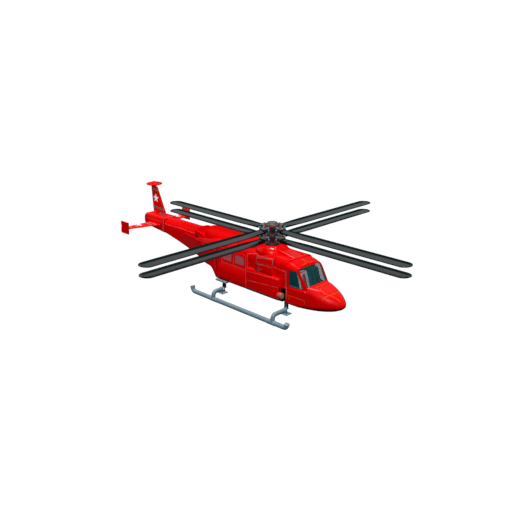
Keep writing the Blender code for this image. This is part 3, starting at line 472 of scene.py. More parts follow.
def section(half, bottom, top, low_w, low_h, high_w, high_h, inset=0.0):
    half, bottom, top = half - inset, bottom + inset, top - inset
    low_w, low_h, high_w, high_h = (max(r - inset, 0.01) for r in (low_w, low_h, high_w, high_h))
    quarter = [0.5 * math.pi * i / ARC_STEPS for i in range(ARC_STEPS + 1)]
    side = [(0.0, bottom)]
    side += [(half - low_w + low_w * math.sin(a), bottom + low_h - low_h * math.cos(a)) for a in quarter]
    side += [(half - high_w + high_w * math.cos(a), top - high_h + high_h * math.sin(a)) for a in quarter]
    side.append((0.0, top))
    return side + [(-y, z) for y, z in reversed(side[1:-1])]


def finer(stations, steps=6):
    """Smooth curve through the stations, each of whose columns is a function of x."""
    rows = []
    for i, (here, there) in enumerate(zip(stations, stations[1:])):
        before, after = stations[max(i - 1, 0)], stations[min(i + 2, len(stations) - 1)]
        span = there[0] - here[0]
        for step in range(steps):
            t = step / steps
            row = [here[0] + span * t]
            for c in range(1, len(here)):
                leave = (there[c] - before[c]) / (there[0] - before[0]) * span
                arrive = (after[c] - here[c]) / (after[0] - here[0]) * span
                row.append((2 * t ** 3 - 3 * t ** 2 + 1) * here[c] + (t ** 3 - 2 * t ** 2 + t) * leave
                           + (3 * t ** 2 - 2 * t ** 3) * there[c] + (t ** 3 - t ** 2) * arrive)
            rows.append(tuple(row))
    return rows + [tuple(stations[-1])]


def hull_rings(stations, inset=0.0):
    return [[(x, y, z) for y, z in section(*shape, inset=inset)] for x, *shape in stations]


def rounded(corners, radius, steps=8):
    """Outline whose corners are curves that start a radius before them."""
    outline = []
    for i, corner in enumerate(corners):
        here = Vector(corner)
        start = here + (Vector(corners[i - 1]) - here).normalized() * radius
        end = here + (Vector(corners[(i + 1) % len(corners)]) - here).normalized() * radius
        for j in range(steps + 1):
            t = j / steps
            outline.append(tuple(start * (1 - t) ** 2 + here * 2 * t * (1 - t) + end * t ** 2))
    return outline


def grown(outline, by):
    """Outline moved away from its middle, or towards it where by is negative."""
    middle = sum((Vector(p) for p in outline), Vector((0, 0))) / len(outline)
    return [tuple(Vector(p) + (Vector(p) - middle).normalized() * by) for p in outline]


# %% [markdown]
# ## Carried-over solids
# Box-like solids keep their own form. A copy has its triangles merged back into flat faces and its edges
# broken by a few millimetres, as sheet metal and castings have, because a knife-sharp edge never
# catches light. The hidden engine and gearbox just get their casting.


# %% Carried-over solids
def repainted(piece, rules):
    """Give the faces that pass a test another material; a test gets a face's centre and normal."""
    for material, test in rules:
        piece.data.materials.append(material)
        for face in piece.data.polygons:
            if test(face.center, face.normal):
                face.material_index = len(piece.data.materials) - 1


def carried(node, material=ENAMEL, bevel=0.0, smooth=35, rules=()):
    piece = linked(f"{node}_finished", nodes[node].data.copy())
    work = bmesh.new()
    work.from_mesh(piece.data)
    bmesh.ops.remove_doubles(work, verts=work.verts, dist=1e-5)
    bmesh.ops.dissolve_limit(work, angle_limit=math.radians(0.6), verts=work.verts, edges=work.edges)
    work.to_mesh(piece.data)
    work.free()
    piece.data.materials.clear()
    piece.data.materials.append(material)
    shade(piece.data, smooth)
    bevelled(piece, bevel)
    repainted(piece, rules)
    settle(piece, body_of[node], (node,))


def in_room(centre, normal):
    in_strut_well = centre.x > 2.05 and abs(centre.y) > 0.5 and centre.z < 1.40
    return abs(centre.y) < 0.729 and 0.835 < centre.z < 2.2 and not in_strut_well


def in_cockpit(centre, normal):
    return normal.x > 0.9 and centre.x > 2.38


# Faces inside the strut niche, which take black as painted shade
def in_niche(centre, normal):
    return 2.115 < centre.x < 2.375 and abs(centre.y) < 0.765 and centre.z < 1.365


# Tops of the steps, which take dark red as painted shade
def on_step(centre, normal):
    return normal.z > 0.7 and abs(centre.y) > 0.772 and centre.z > 1.9


WALL_RULES = ((LINING, in_room), (LINING, in_cockpit), (BLACK_AND_SHADE, in_niche), (STEP_TOP_SHADE, on_step))
for side in ("starboard", "port"):
    carried(f"cabin_wall_{side}", bevel=0.004, rules=WALL_RULES)
    carried(f"sponson_{side}", bevel=0.012)
    carried(f"cabin_door_{side}", bevel=0.003, smooth=28)
    # The rails take the darker red of painted shade
    carried(f"door_rail_{side}", ENAMEL_LOW_SHADE, 0.003)
    carried(f"stabiliser_{side}")
# The floor takes the darker red of painted shade, and black as painted shade in the strut niche
carried("cabin_floor", ENAMEL_LOW_SHADE, rules=((LINING, in_room), (BLACK_AND_SHADE, in_niche)))
carried("tail_box")
carried("tail_fin", smooth=20)
carried("exhaust_trough")
carried("instrument_panel", DASH, 0.004)
carried("swashplate", HUB_DARK, 0.004)
for node in ("engine", "gearbox"):
    nodes[node].data.materials.clear()
    nodes[node].data.materials.append(CAST)

# %% [markdown]
# ## Nose, hatch and cab
# The nose is blown out of one mould and is round everywhere, so it comes from the smooth run of frames.
# Its inside is cut out and lined with dark vinyl. The hatch is the same skin inside a rounded outline.
# Its hinge is two rows of barrels, one on the hatch between two on the nose.

# %% Nose and hatch
SILL_Z = 1.44
COCKPIT_FLOOR = 0.80
SCREEN_LOW = (3.325, 1.59)
SCREEN_HIGH = (2.91, 2.23)
SCREEN_SLOPE = (SCREEN_LOW[0] - SCREEN_HIGH[0]) / (SCREEN_HIGH[1] - SCREEN_LOW[1])
HATCH = (3.56, 4.14, 0.25)
HATCH_OPEN_GAP = 0.006
HINGE_X = 3.557
HINGE_Z = 1.604
HINGE_Y = (-0.16, 0.16)
NOSE_ROOM_END = (4.44, 0.32, 0.851, 1.31, 0.31, 0.22, 0.31, 0.22)


def screen_x(z):
    """Where the windscreen's plane stands at some height."""
    return SCREEN_LOW[0] - (z - SCREEN_LOW[1]) * SCREEN_SLOPE


def hatch_form(grow):
    rear, front, half = HATCH[0] - grow, HATCH[1] + grow, HATCH[2] + grow
    return prism("hatch_form", rounded(((rear, -half), (front, -half), (front, half), (rear, half)), 0.06),
                 "z", 1.12, 2.0)


def barrel(y, half):
    return rod("barrel", (HINGE_X, y, HINGE_Z), 0.012, -half, half, sides=20, axis="y")


nose = loft("nose_skin", hull_rings(finer(NOSE_STATIONS)), ENAMEL_NOSE)
room = hull_rings(finer([NOSE_ROOM_END, *NOSE_STATIONS[3:]]), WALL)
room[-1] = [(x - 0.05, y, z) for x, y, z in room[-1]]
room = loft("nose_room", room)
cut(room, block("under_floor", (2.0, -1.0, 0.0), (5.0, 1.0, COCKPIT_FLOOR)))
lined(nose, room)
above_sill = ((2.3, SILL_Z - GAP), (screen_x(SILL_Z) + 2 * GAP, SILL_Z - GAP),
              (SCREEN_HIGH[0] + 2 * GAP, SCREEN_HIGH[1]), (2.3, SCREEN_HIGH[1]))
cut(nose, prism("above_sill", above_sill, "y", -1.0, 1.0))
# Downward faces at the bottom of the nose take dark maroon as painted shade
repainted(nose, ((OXIDE_AND_SHADE, lambda centre, normal: normal.z < -0.55 and centre.z < 0.95),))
hatch = linked("nose_hatch_skin", nose.data.copy())
cut(hatch, hatch_form(0.0), "INTERSECT")
cut(nose, hatch_form(HATCH_OPEN_GAP))
hinge = []
for middle in (y + side * 0.0453 for y in HINGE_Y for side in (-1, 1)):
    hinge += [barrel(middle, 0.015),
              block("leaf", (3.497, middle - 0.015, 1.585), (HINGE_X, middle + 0.015, HINGE_Z), bevel=0.002)]
settle(joined("nose_skin", [nose] + hinge), "airframe", stands_for=("nose_shell",))
hatch = joined("nose_hatch_skin", [hatch] + [barrel(y, 0.03) for y in HINGE_Y])
settle(hatch, "hatch", stands_for=("nose_hatch",))
print("nose:", len(nose.data.polygons), "faces")

# %% [markdown]
# ## Cab and its windows
# The cab leans back to the windscreen. Its window holes are cut through wall and lining by the swept
# outline of each window. A pane and its rubber seal are thin shells of the cab's own form, cut out by
# the same outline, so glass and metal share one curve.

# %% Cab and its windows
#            half at sill, half at shoulder, shoulder z, roof edge half, roof edge z, roof z
CAB_FORMS = ((0.755, 0.765, 2.16, 0.50, 2.41, 2.44), (0.715, 0.745, 2.14, 0.52, 2.37, 2.41),
             (0.615, 0.675, 2.10, 0.585, 2.27, 2.325))
SCREEN = rounded(((-0.598, 1.51), (0.598, 1.51), (0.650, 2.08), (0.600, 2.25), (-0.600, 2.25),
                  (-0.650, 2.08)), 0.04)
SIDE_WINDOW = rounded(((2.53, 1.505), (3.21, 1.49), (2.86, 2.175), (2.54, 2.175)), 0.04)
#          name, side: 0 is the windscreen
WINDOWS = (("windscreen", 0), ("side_window_starboard", -1), ("side_window_port", 1))
#             outer and inner face under the skin, finish, edge of the second cut, its kind
WINDOW_SKINS = {"pane": (0.006, 0.014, ACRYLIC, -0.0165, "INTERSECT"),
                "seal": (0.001, 0.02, RUBBER, -0.016, "DIFFERENCE")}


def cab_rings(inset=0.0, bottom=SILL_Z, rear=CABIN_FRONT + GAP, front_back=0.0):
    """Cab from its rear frame to the leaning plane of the windscreen."""
    rings = []
    rows = finer([(i / 2, *form) for i, form in enumerate(CAB_FORMS)], 8)
    for part, sill, shoulder, shoulder_z, edge, edge_z, roof in rows:
        half = [(0.0, bottom), (sill - inset, bottom), (shoulder - inset, shoulder_z)]
        for i in range(1, ARC_STEPS + 1):
            angle = 0.5 * math.pi * i / ARC_STEPS
            half.append((edge + (shoulder - edge) * math.cos(angle) - inset,
                         shoulder_z + (edge_z - shoulder_z) * math.sin(angle) - inset))
        half += [((edge - inset) * (1 - i / 5), edge_z - inset + (roof - edge_z) * math.sin(math.pi * i / 10))
                 for i in range(1, 5)]
        half.append((0.0, roof - inset))
        outline = half + [(-y, z) for y, z in reversed(half[1:-1])]
        rings.append([(rear + (screen_x(z) - front_back - rear) * part, y, z) for y, z in outline])
    return rings


def window_tool(side, grow=0.0):
    """Body that a window's outline sweeps, along X for the windscreen and along Y for a side window.

    The cut edge of the cab takes the tool's acrylic, so it reads as the edge of the pane.
    """
    if side:
        return prism("window", grown(SIDE_WINDOW, grow), "y", side * 0.50, side * 0.90, ACRYLIC)
    rings = [[(screen_x(z) + along, y, z) for y, z in grown(SCREEN, grow)] for along in (-0.10, 0.10)]
    return loft("window", rings, ACRYLIC, None)


cab = loft("cab_skin", cab_rings())
lined(cab, loft("cab_room", cab_rings(WALL, SILL_Z - 0.1, CABIN_FRONT - 0.1, WALL * 1.2)), "MANIFOLD")
work = bmesh.new()
work.from_mesh(cab.data)
bmesh.ops.triangulate(work, faces=work.faces)
work.to_mesh(cab.data)
work.free()
for name, side in WINDOWS:
    cut(cab, window_tool(side), solver="MANIFOLD")
settle(cab, "airframe", stands_for=("cockpit_frame",))
for name, side in WINDOWS:
    for kind, (outer, inner, material, edge, operation) in WINDOW_SKINS.items():
        skin = loft(f"{name}_{kind}", cab_rings(outer, SILL_Z + 0.01, CABIN_FRONT + 0.01, outer), material)
        cut(skin, loft("within", cab_rings(inner, SILL_Z - 0.1, CABIN_FRONT - 0.1, inner * 1.1)))
        cut(skin, window_tool(side, -0.0006), "INTERSECT")
        cut(skin, window_tool(side, edge), operation)
        settle(skin, "airframe", (name,) if kind == "pane" else ())
print("cab:", len(cab.data.polygons), "faces")

# %% [markdown]
# ## Cabin roof, aft hull and tail boom
# The same frames and the same smooth curve carry on behind the cabin. The roof is a slice of the cabin's
# section with the room below cut out of it, and with the well for the engine and gearbox on top.

# %% Cabin roof, aft hull and tail boom
DECK_Z = 2.27


# Faces of the aft hull beside the exhaust trough, which take the darker red as painted shade
def in_painted_aft_shade(centre, normal):
    return centre.x < -2.15 and abs(centre.y) > 0.3 and normal.z < 0.93


roof = loft("cabin_roof_skin", hull_rings([(CABIN_REAR, *CABIN_SECTION), (CABIN_FRONT, *CABIN_SECTION)]))
cut(roof, block("above_walls", (-2, -1, 2.16 + GAP), (3, 1, 3)), "INTERSECT")
room = [(-0.725, 1.9), (0.725, 1.9), (0.725, 2.18), (0.645, 2.22), (-0.645, 2.22), (-0.725, 2.18)]
lined(roof, prism("cabin_room", room, "x", -2, 3))
lined(roof, block("well", (-1.30, -0.46, DECK_Z), (1.36, 0.46, 3)))
settle(roof, "airframe", stands_for=("cabin_roof",))
aft = loft("aft_fuselage_skin", hull_rings(finer(AFT_STATIONS)))
repainted(aft, ((ENAMEL_AFT_SHADE, in_painted_aft_shade),))
settle(aft, "airframe", stands_for=("aft_fuselage",))
boom = loft("tail_boom_skin", hull_rings(finer(BOOM_STATIONS)))
# The front of the boom below z 2.1 takes the darker red as painted shade
repainted(boom, ((ENAMEL_AFT_SHADE, lambda centre, normal: centre.x > -4.4 and centre.z < 2.1),))
settle(boom, "airframe", stands_for=("tail_boom",))
print("roof, aft hull and boom:", [len(piece.data.polygons) for piece in (roof, aft, boom)], "faces")

# %% [markdown]
# ## Dome, ramp and engine cowling
# The dome round the masts is turned on the mast axis. A ramp runs from it down to the cockpit roof. The
# cowling behind is an arch that grows from the exhaust to the dome. All of them end on the roof's curve,
# so the hull's own form is cut away from their feet.

# %% Dome, ramp and engine cowling
MAST_X = 0.92
#       height, radius
DOME = ((2.36, 0.70), (2.46, 0.69), (2.53, 0.66), (2.60, 0.59), (2.65, 0.50), (2.69, 0.36))
DOME_ROOM = ((2.30, 0.62), (2.50, 0.61), (2.56, 0.54), (2.61, 0.45), (2.645, 0.32), (2.646, 0.20),
             (2.80, 0.20))
RAMP = ((1.00, 0.30, 2.0, 2.66, 0.01, 0.01, 0.10, 0.07), (1.50, 0.30, 2.0, 2.65, 0.01, 0.01, 0.10, 0.07),
        (2.38, 0.30, 2.0, 2.475, 0.01, 0.01, 0.10, 0.05))
#        x      half  top    corner width and height
ARCH = ((-2.98, 0.19, 2.50, 0.18, 0.22), (-2.88, 0.32, 2.63, 0.31, 0.34), (-2.70, 0.42, 2.725, 0.41, 0.42),
        (-2.40, 0.50, 2.765, 0.48, 0.48), (-1.20, 0.56, 2.765, 0.50, 0.48), (0.30, 0.60, 2.74, 0.54, 0.46))


def arch_rings(inset, base, ends):
    rows = [row for row in finer(ARCH) if row[0] > ARCH[0][0] + 2 * inset - 0.001]
    rows[-1] = (rows[-1][0] + ends, *rows[-1][1:])
    return [[(x, y, z) for y, z in section(half - inset, base, top - inset, 0.01, 0.01, wide - inset * 0.9,
                                           tall - inset)] for x, half, top, wide, tall in rows]


def hull_form():
    """Cabin and aft hull as one body, a gap larger than the real one."""
    return loft("hull_form", hull_rings([(CABIN_FRONT + 0.001, *CABIN_SECTION), *finer(AFT_STATIONS)], -GAP))


dome = turned("mast_fairing_skin", (MAST_X, 0, 0), finer(DOME), ENAMEL_DOME, 72)
cut(dome, loft("ramp", hull_rings(finer(RAMP))), "UNION")
lined(dome, turned("dome_room", (MAST_X, 0, 0), DOME_ROOM, sides=72))
cut(dome, hull_form())
cut(dome, block("behind", (-2, -2, 2), (0.30 + GAP, 2, 3)), smooth=28)
settle(dome, "airframe", stands_for=("mast_fairing",))
cover = block("well_cover", (0.3006, -0.4597, 2.45), (0.55, 0.4597, 2.4697))
cut(cover, rod("dome_form", (MAST_X, 0, 0), 0.6915, 2.40, 2.50, sides=72))
settle(cover, "airframe")
cowling = loft("engine_cowling_skin", arch_rings(0.0, 2.0, 0.0))
lined(cowling, loft("cowl_room", arch_rings(0.04, 1.9, 0.1)))
cut(cowling, hull_form())
settle(cowling, "airframe", stands_for=("engine_cowling",))
print("dome and cowling:", len(dome.data.polygons), "and", len(cowling.data.polygons), "faces")

# %% [markdown]
# ## Rotor blades
# A blade's section has a ridge at mid chord with a flat facet to each side of it, which is what the two
# shades along every blade come from. The root is thick and narrow, the tip is a half circle.

# %% Rotor blades
ROTOR_RADIUS = 6.4
BLADE_HALF = 0.30
BLADE_THICK = 0.07
PLANES = {"upper_rotor": 3.32, "lower_rotor": 2.94}
#              radius, half chord, thickness
BLADE_ROOT = ((0.6003, 0.20, 0.14), (1.10, 0.25, 0.10), (1.65, BLADE_HALF, BLADE_THICK),
              (2.20, BLADE_HALF, BLADE_THICK))
#                share of the half chord, share of the thickness
BLADE_SECTION = ((1, 0.02), (0.97, 0.2), (0.03, 0.49), (-0.03, 0.49), (-0.97, 0.2), (-1, 0.02), (-1, -0.34),
                 (-0.6, -0.38), (0, -0.4), (0.6, -0.38), (1, -0.34))
# Degrees round the tip's half circle where it ends, just short of a point
TIP_END = 87


def turn_about_z(piece, angle):
    piece.data.transform(Matrix.Rotation(angle, 4, "Z"))
    return piece


def blade_rings(plane_z):
    rows = finer(BLADE_ROOT, 5)
    for degrees in range(0, 90, 6):
        turn = math.radians(min(degrees, TIP_END))
        along = ROTOR_RADIUS - BLADE_HALF * (1 - math.sin(turn) / math.sin(math.radians(TIP_END)))
        rows.append((along, BLADE_HALF * math.cos(turn), BLADE_THICK * (0.4 + 0.6 * math.cos(turn))))
    return [[(r, y * half, plane_z + z * thick) for y, z in BLADE_SECTION] for r, half, thick in rows]


for rotor, plane_z in PLANES.items():
    for quarter in range(4):
        blade = loft(f"{rotor}_blade_skin_{quarter + 1}", blade_rings(plane_z), BLADE, 2.5)
        turn_about_z(blade, quarter * math.pi / 2)
        blade.data.transform(Matrix.Translation((MAST_X, 0, 0)))
        settle(blade, rotor, (f"{rotor}_blade_{quarter + 1}",))
print("blades:", len(PLANES) * 4, "of", len(blade.data.polygons), "faces")

# %% [markdown]
# ## Hubs
# Each blade root sits in a grip between two plates. Between neighbouring arms is a damper: a round rubber
# bearing in a red-primed ring on a flange. The bolts carry a pale blue seal that shows they were
# tightened. Everything is made for one arm and turned three times.

# %% Hubs
SHAFT_FOOT = 2.5403
PLATE_HALF = ((0.08, 0.17), (0.24, 0.17), (0.33, 0.13), (0.46, 0.13), (0.50, 0.16), (0.60, 0.16))
PLATE = rounded([(x, -y) for x, y in PLATE_HALF] + [*reversed(PLATE_HALF)], 0.02, 3)
#      rows of height and radius, finish
CAP = ((((3.465, 0.29), (3.475, 0.31), (3.497, 0.31), (3.503, 0.30)), OXIDE_AND_SHADE),
       (((3.47, 0.24), (3.52, 0.25), (3.555, 0.215), (3.572, 0.20), (3.588, 0.195), (3.59, 0.185)), HUB),
       (((3.574, 0.205), (3.581, 0.205)), OXIDE_AND_SHADE))


def hub_arm(z, sealed, side_seal):
    """Grip, plates, bolts and damper of one arm that points along +X."""
    pieces = [block("grip", (0.20, -0.12, z - 0.07), (0.60, 0.12, z + 0.07), HUB_DARK, 0.015),
              block("cuff", (0.55, -0.15, z - 0.085), (0.60, 0.15, z + 0.085), BLACK_AND_SHADE, 0.01)]
    for low in (z - 0.105, z + 0.075):
        pieces.append(bevelled(prism("plate", PLATE, "z", low, low + 0.03, HUB), 0.006))
    for x, y, radius, material in ((0.34, 0.09, 0.036, BLUE_BOLT if sealed > 0 else CADMIUM),
                                   (0.34, -0.09, 0.036, BLUE_BOLT if sealed < 0 else CADMIUM),
                                   (0.22, 0.0, 0.045, CADMIUM), (0.52, 0.11, 0.030, CADMIUM),
                                   (0.52, -0.11, 0.030, CADMIUM), (0.13, 0.12, 0.040, OXIDE_AND_SHADE)):
        head = ((0.105, radius), (0.128, radius), (0.130, radius * 0.8))
        pieces += [turned("bolt", (x, y, z), head, material, 6),
                   rod("washer", (x, y, z), radius * 1.35, 0.104, 0.110, CHROME, 16)]
    pieces += [rod("side_bolt", (0.555, y, z), 0.034, -0.03, 0.03, BLUE_BOLT if side_seal else CHROME, 6, "y")
               for y in (-0.15, 0.15)]
    damper = [block("flange", (0.23, -0.19, z - 0.055), (0.34, 0.19, z + 0.085), HUB, 0.012),
              rod("ring", (0, 0, z + 0.015), 0.15, 0.30, 0.365, OXIDE_AND_SHADE, axis="x"),
              rod("bearing", (0, 0, z + 0.03), 0.09, 0.36, 0.38, HUB_DARK, axis="x"),
              rod("pin", (0, 0, z - 0.015), 0.022, 0.38, 0.395, CHROME, 16, "x")]
    damper += [rod("bolt", (0, y, z + 0.03), 0.032, 0.34, 0.372, BLUE_BOLT, 6, "x") for y in (-0.15, 0.15)]
    return pieces + [turn_about_z(piece, math.pi / 4) for piece in damper]


for rotor, z in PLANES.items():
    capped = rotor == "upper_rotor"
    foot, flare, shaft = (-0.15, -0.13, 0.07) if capped else (-0.19, -0.16, 0.12)
    drum = ((foot, 0.20), (flare, 0.24), (0.13, 0.24), (0.165, 0.21), (0.17, 0.20))
    whole = [turned("drum", (0, 0, z), drum, HUB_DARK, 48),
             rod("shaft", (0, 0, 0), shaft, SHAFT_FOOT, z, CHROME, 40)]
    if capped:
        whole += [turned("cap", (0, 0, 0), profile, material, 48) for profile, material in CAP]
        for i in range(8):
            turn = 2 * math.pi * (i + 0.5) / 8
            centre = (0.272 * math.cos(turn), 0.272 * math.sin(turn), 0)
            whole.append(rod("cap_bolt", centre, 0.022, 3.49, 3.522, CADMIUM if i % 2 else HUB_DARK, 6))
    else:
        for piece in whole:
            cut(piece, rod("bore", (0, 0, 0), 0.085, 2.0, 4.0, sides=40))
    for quarter, sealed in enumerate((-1, 0, 0, 1)):
        whole += [turn_about_z(piece, quarter * math.pi / 2)
                  for piece in hub_arm(z, sealed, quarter in (1, 2))]
    hub = joined(f"{rotor}_hub_detailed", whole)
    hub.data.transform(Matrix.Translation((MAST_X, 0, 0)))
    settle(hub, rotor, (f"{rotor}_hub",))
    print(rotor, "hub:", len(hub.data.polygons), "faces")

# %% [markdown]
# ## Skids, arms and struts
# The skid tubes are bent pipes whose ends turn up into flanges. On each stands an elbow pipe with a
# sleeve, and the elbow carries a foot plate for the strut: a damper with a bright rod and a ball foot,
# between two side bars.

# %% Skids, arms and struts
BELLY_Z = 0.72
SKID_Y = 1.38
SKID_TUBE = 0.0951
SLEEVE = 0.1053
AXIS_Z = 0.1053
END_TURN = math.radians(75)
ARM_PIPE = 0.088
ARM_Z = 0.42
ARM_BEND = 0.17
PAD_TOP = 0.265
#       place, x and y of the arm's foot plate, ends of its sleeve, x and y of the strut
LEGS = (("front", 2.28, 0.605, 2.03, 2.41, 2.255, 0.573), ("rear", -1.15, 0.85, -1.28, -0.92, -1.15, 0.75))


def sweep(name, path, radii, normal, sides=32):
    """Round pipe along a path that lies in the plane of the normal."""
    normal = Vector(normal)
    turns = [2 * math.pi * j / sides for j in range(sides)]
    rings = []
    for i, point in enumerate(path):
        ahead = Vector(path[min(i + 1, len(path) - 1)]) - Vector(path[max(i - 1, 0)])
        level = normal.cross(ahead.normalized())
        rings.append([Vector(point) + radii[i] * (math.cos(a) * normal + math.sin(a) * level) for a in turns])
    return loft(name, rings, GEAR_PAINT, 40)


def arc(centre, radius, start, end, steps=10):
    turns = [math.radians(start + (end - start) * i / steps) for i in range(steps + 1)]
    return [(centre[0] + radius * math.cos(a), centre[1] + radius * math.sin(a)) for a in turns]


def skid_tube():
    runs = []
    for side, x, stub in ((-1, -2.345, 0.12), (1, 2.88, 0.08)):
        run = [(point, SKID_TUBE) for point in arc((x, AXIS_Z + 0.14), 0.14, -90, -90 + side * 75)]
        end_x, end_z = run[-1][0]
        for length, radius in ((stub - 0.030, SKID_TUBE), (stub - 0.0299, 0.108), (stub - 0.002, 0.108),
                               (stub, 0.104)):
            end = (end_x + side * length * math.cos(END_TURN), end_z + length * math.sin(END_TURN))
            run.append((end, radius))
        runs.append(run)
    run = runs[0][::-1] + runs[1]
    return sweep("skid_tube_starboard_pipe", [(x, -SKID_Y, z) for (x, z), radius in run],
                 [radius for point, radius in run], (0, 1, 0))


def skid_arm(place, x, y, sleeve_from, sleeve_to):
    curve = arc((SKID_Y - ARM_BEND, ARM_Z - ARM_BEND), ARM_BEND, 90, 0)
    run = [(x, -y - 0.075, ARM_Z)] + [(x, -out, z) for out, z in curve] + [(x, -SKID_Y, AXIS_Z)]
    pieces = [sweep("arm", run, [ARM_PIPE] * len(run), (1, 0, 0))]
    for start, end, radius, material in ((sleeve_from, sleeve_to, SLEEVE - 0.003, GEAR_PAINT),
                                         (sleeve_from, sleeve_from + 0.03, SLEEVE, GEAR_CYAN),
                                         (sleeve_to - 0.03, sleeve_to, SLEEVE, GEAR_CYAN)):
        profile = ((start, radius - 0.004), (start + 0.004, radius), (end - 0.004, radius),
                   (end, radius - 0.004))
        pieces.append(turned("sleeve", (0, -SKID_Y, AXIS_Z), profile, material, axis="x"))
    weld = ((0.185, 0.088), (0.20, 0.094), (0.215, 0.088))
    pieces += [turned("weld", (x, -SKID_Y, 0), weld, GEAR_PAINT, 36),
               rod("collar", (x, 0, ARM_Z), 0.094, -y - 0.135, -y - 0.097, GEAR_CYAN, 36, "y"),
               block("bracket", (x - 0.075, -y - 0.095, 0.235), (x + 0.075, -y - 0.015, 0.50), GEAR_PAINT,
                     0.008),
               block("pad", (x - 0.16, -y - 0.16, 0.235), (x + 0.16, -y + 0.16, PAD_TOP), GEAR_PAINT, 0.005)]
    pieces += [rod("bolt", (x + dx, -y + dy, PAD_TOP), 0.016, -0.005, 0.012, CHROME, 6)
               for dx in (-0.13, 0.13) for dy in (-0.13, 0.13)]
    return joined(f"skid_arm_{place}_starboard_pipe", pieces)


def strut(place, x, y):
    front = place == "front"
    ball_z = PAD_TOP + GAP + 0.04
    top = 1.24 if front else BELLY_Z - GAP
    ball = [(ball_z - 0.04 * math.cos(math.pi * i / 12), max(0.04 * math.sin(math.pi * i / 12), 0.01))
            for i in range(1, 12)]
    damper = ((0.475, 0.035), (0.48, 0.042), (top - 0.05, 0.042), (top - 0.03, 0.038))
    pieces = [turned("ball", (x, -y, 0), ball, OXIDE_AND_SHADE, 28),
              rod("rod", (x, -y, 0), 0.022, ball_z + 0.02, 0.475, CHROME, 28),
              turned("damper", (x, -y, 0), damper, CHROME if front else BLACK_PAINT, 28),
              block("clamp", (x - 0.095, -y - 0.033, 0.45), (x + 0.095, -y + 0.033, 0.49), BLACK_PAINT,
                    0.005)]
    for bar in (x - 0.075, x + 0.075):
        low, high = (bar - 0.012, -y - 0.03, 0.47), (bar + 0.012, -y + 0.03, top - 0.02)
        pieces += [block("bar", low, high, BLACK_PAINT, 0.003),
                   rod("pin", (bar, -y, 0.52), 0.014, -0.045, -0.03, CHROME, 12, "y")]
    if front:
        low, high = (x - 0.10, -y - 0.05, top - 0.04), (x + 0.10, -0.5203, top)
        pieces.append(block("head", low, high, BLACK_PAINT, 0.005))
    else:
        pieces.append(block("head", (-1.66, -0.80, top - 0.06), (-1.02, -0.52, top), GEAR_PAINT, 0.006))
        pieces += [rod("bolt", (bolt_x, -0.755, top - 0.06), 0.014, -0.01, 0.005, CHROME, 6)
                   for bolt_x in (-1.60, -1.34, -1.08)]
    return joined(f"strut_{place}_starboard_detailed", pieces)


def both_sides(piece, node):
    """Settle a starboard piece and its port copy for the solids of the same names."""
    port = mirrored(piece, piece.name.replace("starboard", "port"))
    for made, name in ((piece, node), (port, node.replace("starboard", "port"))):
        settle(made, body_of[name], (name,))


both_sides(skid_tube(), "skid_tube_starboard")
for place, x, y, sleeve_from, sleeve_to, strut_x, strut_y in LEGS:
    both_sides(skid_arm(place, x, y, sleeve_from, sleeve_to), f"skid_arm_{place}_starboard")
    both_sides(strut(place, strut_x, strut_y), f"strut_{place}_starboard")
print("landing gear:", 2 + 4 * len(LEGS), "pieces")

# %% [markdown]
# ## Door windows, lamps and fin cap
# The door panes sit flush in the door's outer skin behind a rubber seal. The landing lamps have a domed
# back, a plated rim and a pressed lens that looks forward. The cap on the fin is a turned dish.

# %% Door windows, lamps and fin cap
panes = []
seals = []
# The panes' pink is painted light for the lit cabin behind them and a reflected haze
for rear, front in ((-1.15, -0.59), (-0.40, 0.158)):
    outline = rounded(((rear, 1.745), (front, 1.745), (front, 2.12), (rear, 2.12)), 0.06)
    panes.append(prism("pane", grown(outline, -0.0008), "y", -0.828, -0.822, CABIN_ACRYLIC))
    ring = prism("seal", grown(outline, 0.010), "y", -0.832, -0.829, RUBBER)
    seals.append(cut(ring, prism("hole", grown(outline, -0.012), "y", -1, -0.7)))
both_sides(joined("door_windows_starboard", panes + seals), "door_glass_starboard")

LAMP = Vector((2.10, -0.93, 1.10))
LAMP_MIDDLE = LAMP + Vector((0.10, 0, 0))
QUARTER = [math.pi * i / 24 for i in range(13)]
LAMP_BOWL = [(0.012 + 0.12 * (1 - math.cos(turn)), 0.03 + 0.067 * math.sin(turn)) for turn in QUARTER]
#            finish, rows of distance along X and radius
LAMP_PARTS = ((LAMP_RED, LAMP_BOWL + [(0.215, 0.097)]),
              (LAMP_RIM, ((0.21, 0.094), (0.215, 0.097), (0.24, 0.097), (0.246, 0.090))),
              (LAMP_LENS, ((0.236, 0.082), (0.246, 0.078), (0.249, 0.05), (0.25, 0.02))))
lamp = [turned("lamp", LAMP, profile, material, axis="x") for material, profile in LAMP_PARTS]
lamp.append(block("arm", (LAMP.x + GAP, LAMP.y + 0.05, 1.06), (2.20, -0.79, 1.14), LAMP_RED, 0.006))
lamp = joined("landing_light_starboard_lamp", lamp)
grow = Matrix.Diagonal((1.12, 1.16, 1.16, 1))
lamp.data.transform(Matrix.Translation(LAMP_MIDDLE) @ grow @ Matrix.Translation(-LAMP_MIDDLE))
both_sides(lamp, "landing_light_starboard")

# The foot of the cap takes the darker red of painted shade
FIN_CAP = (-6.82, 0, 0)
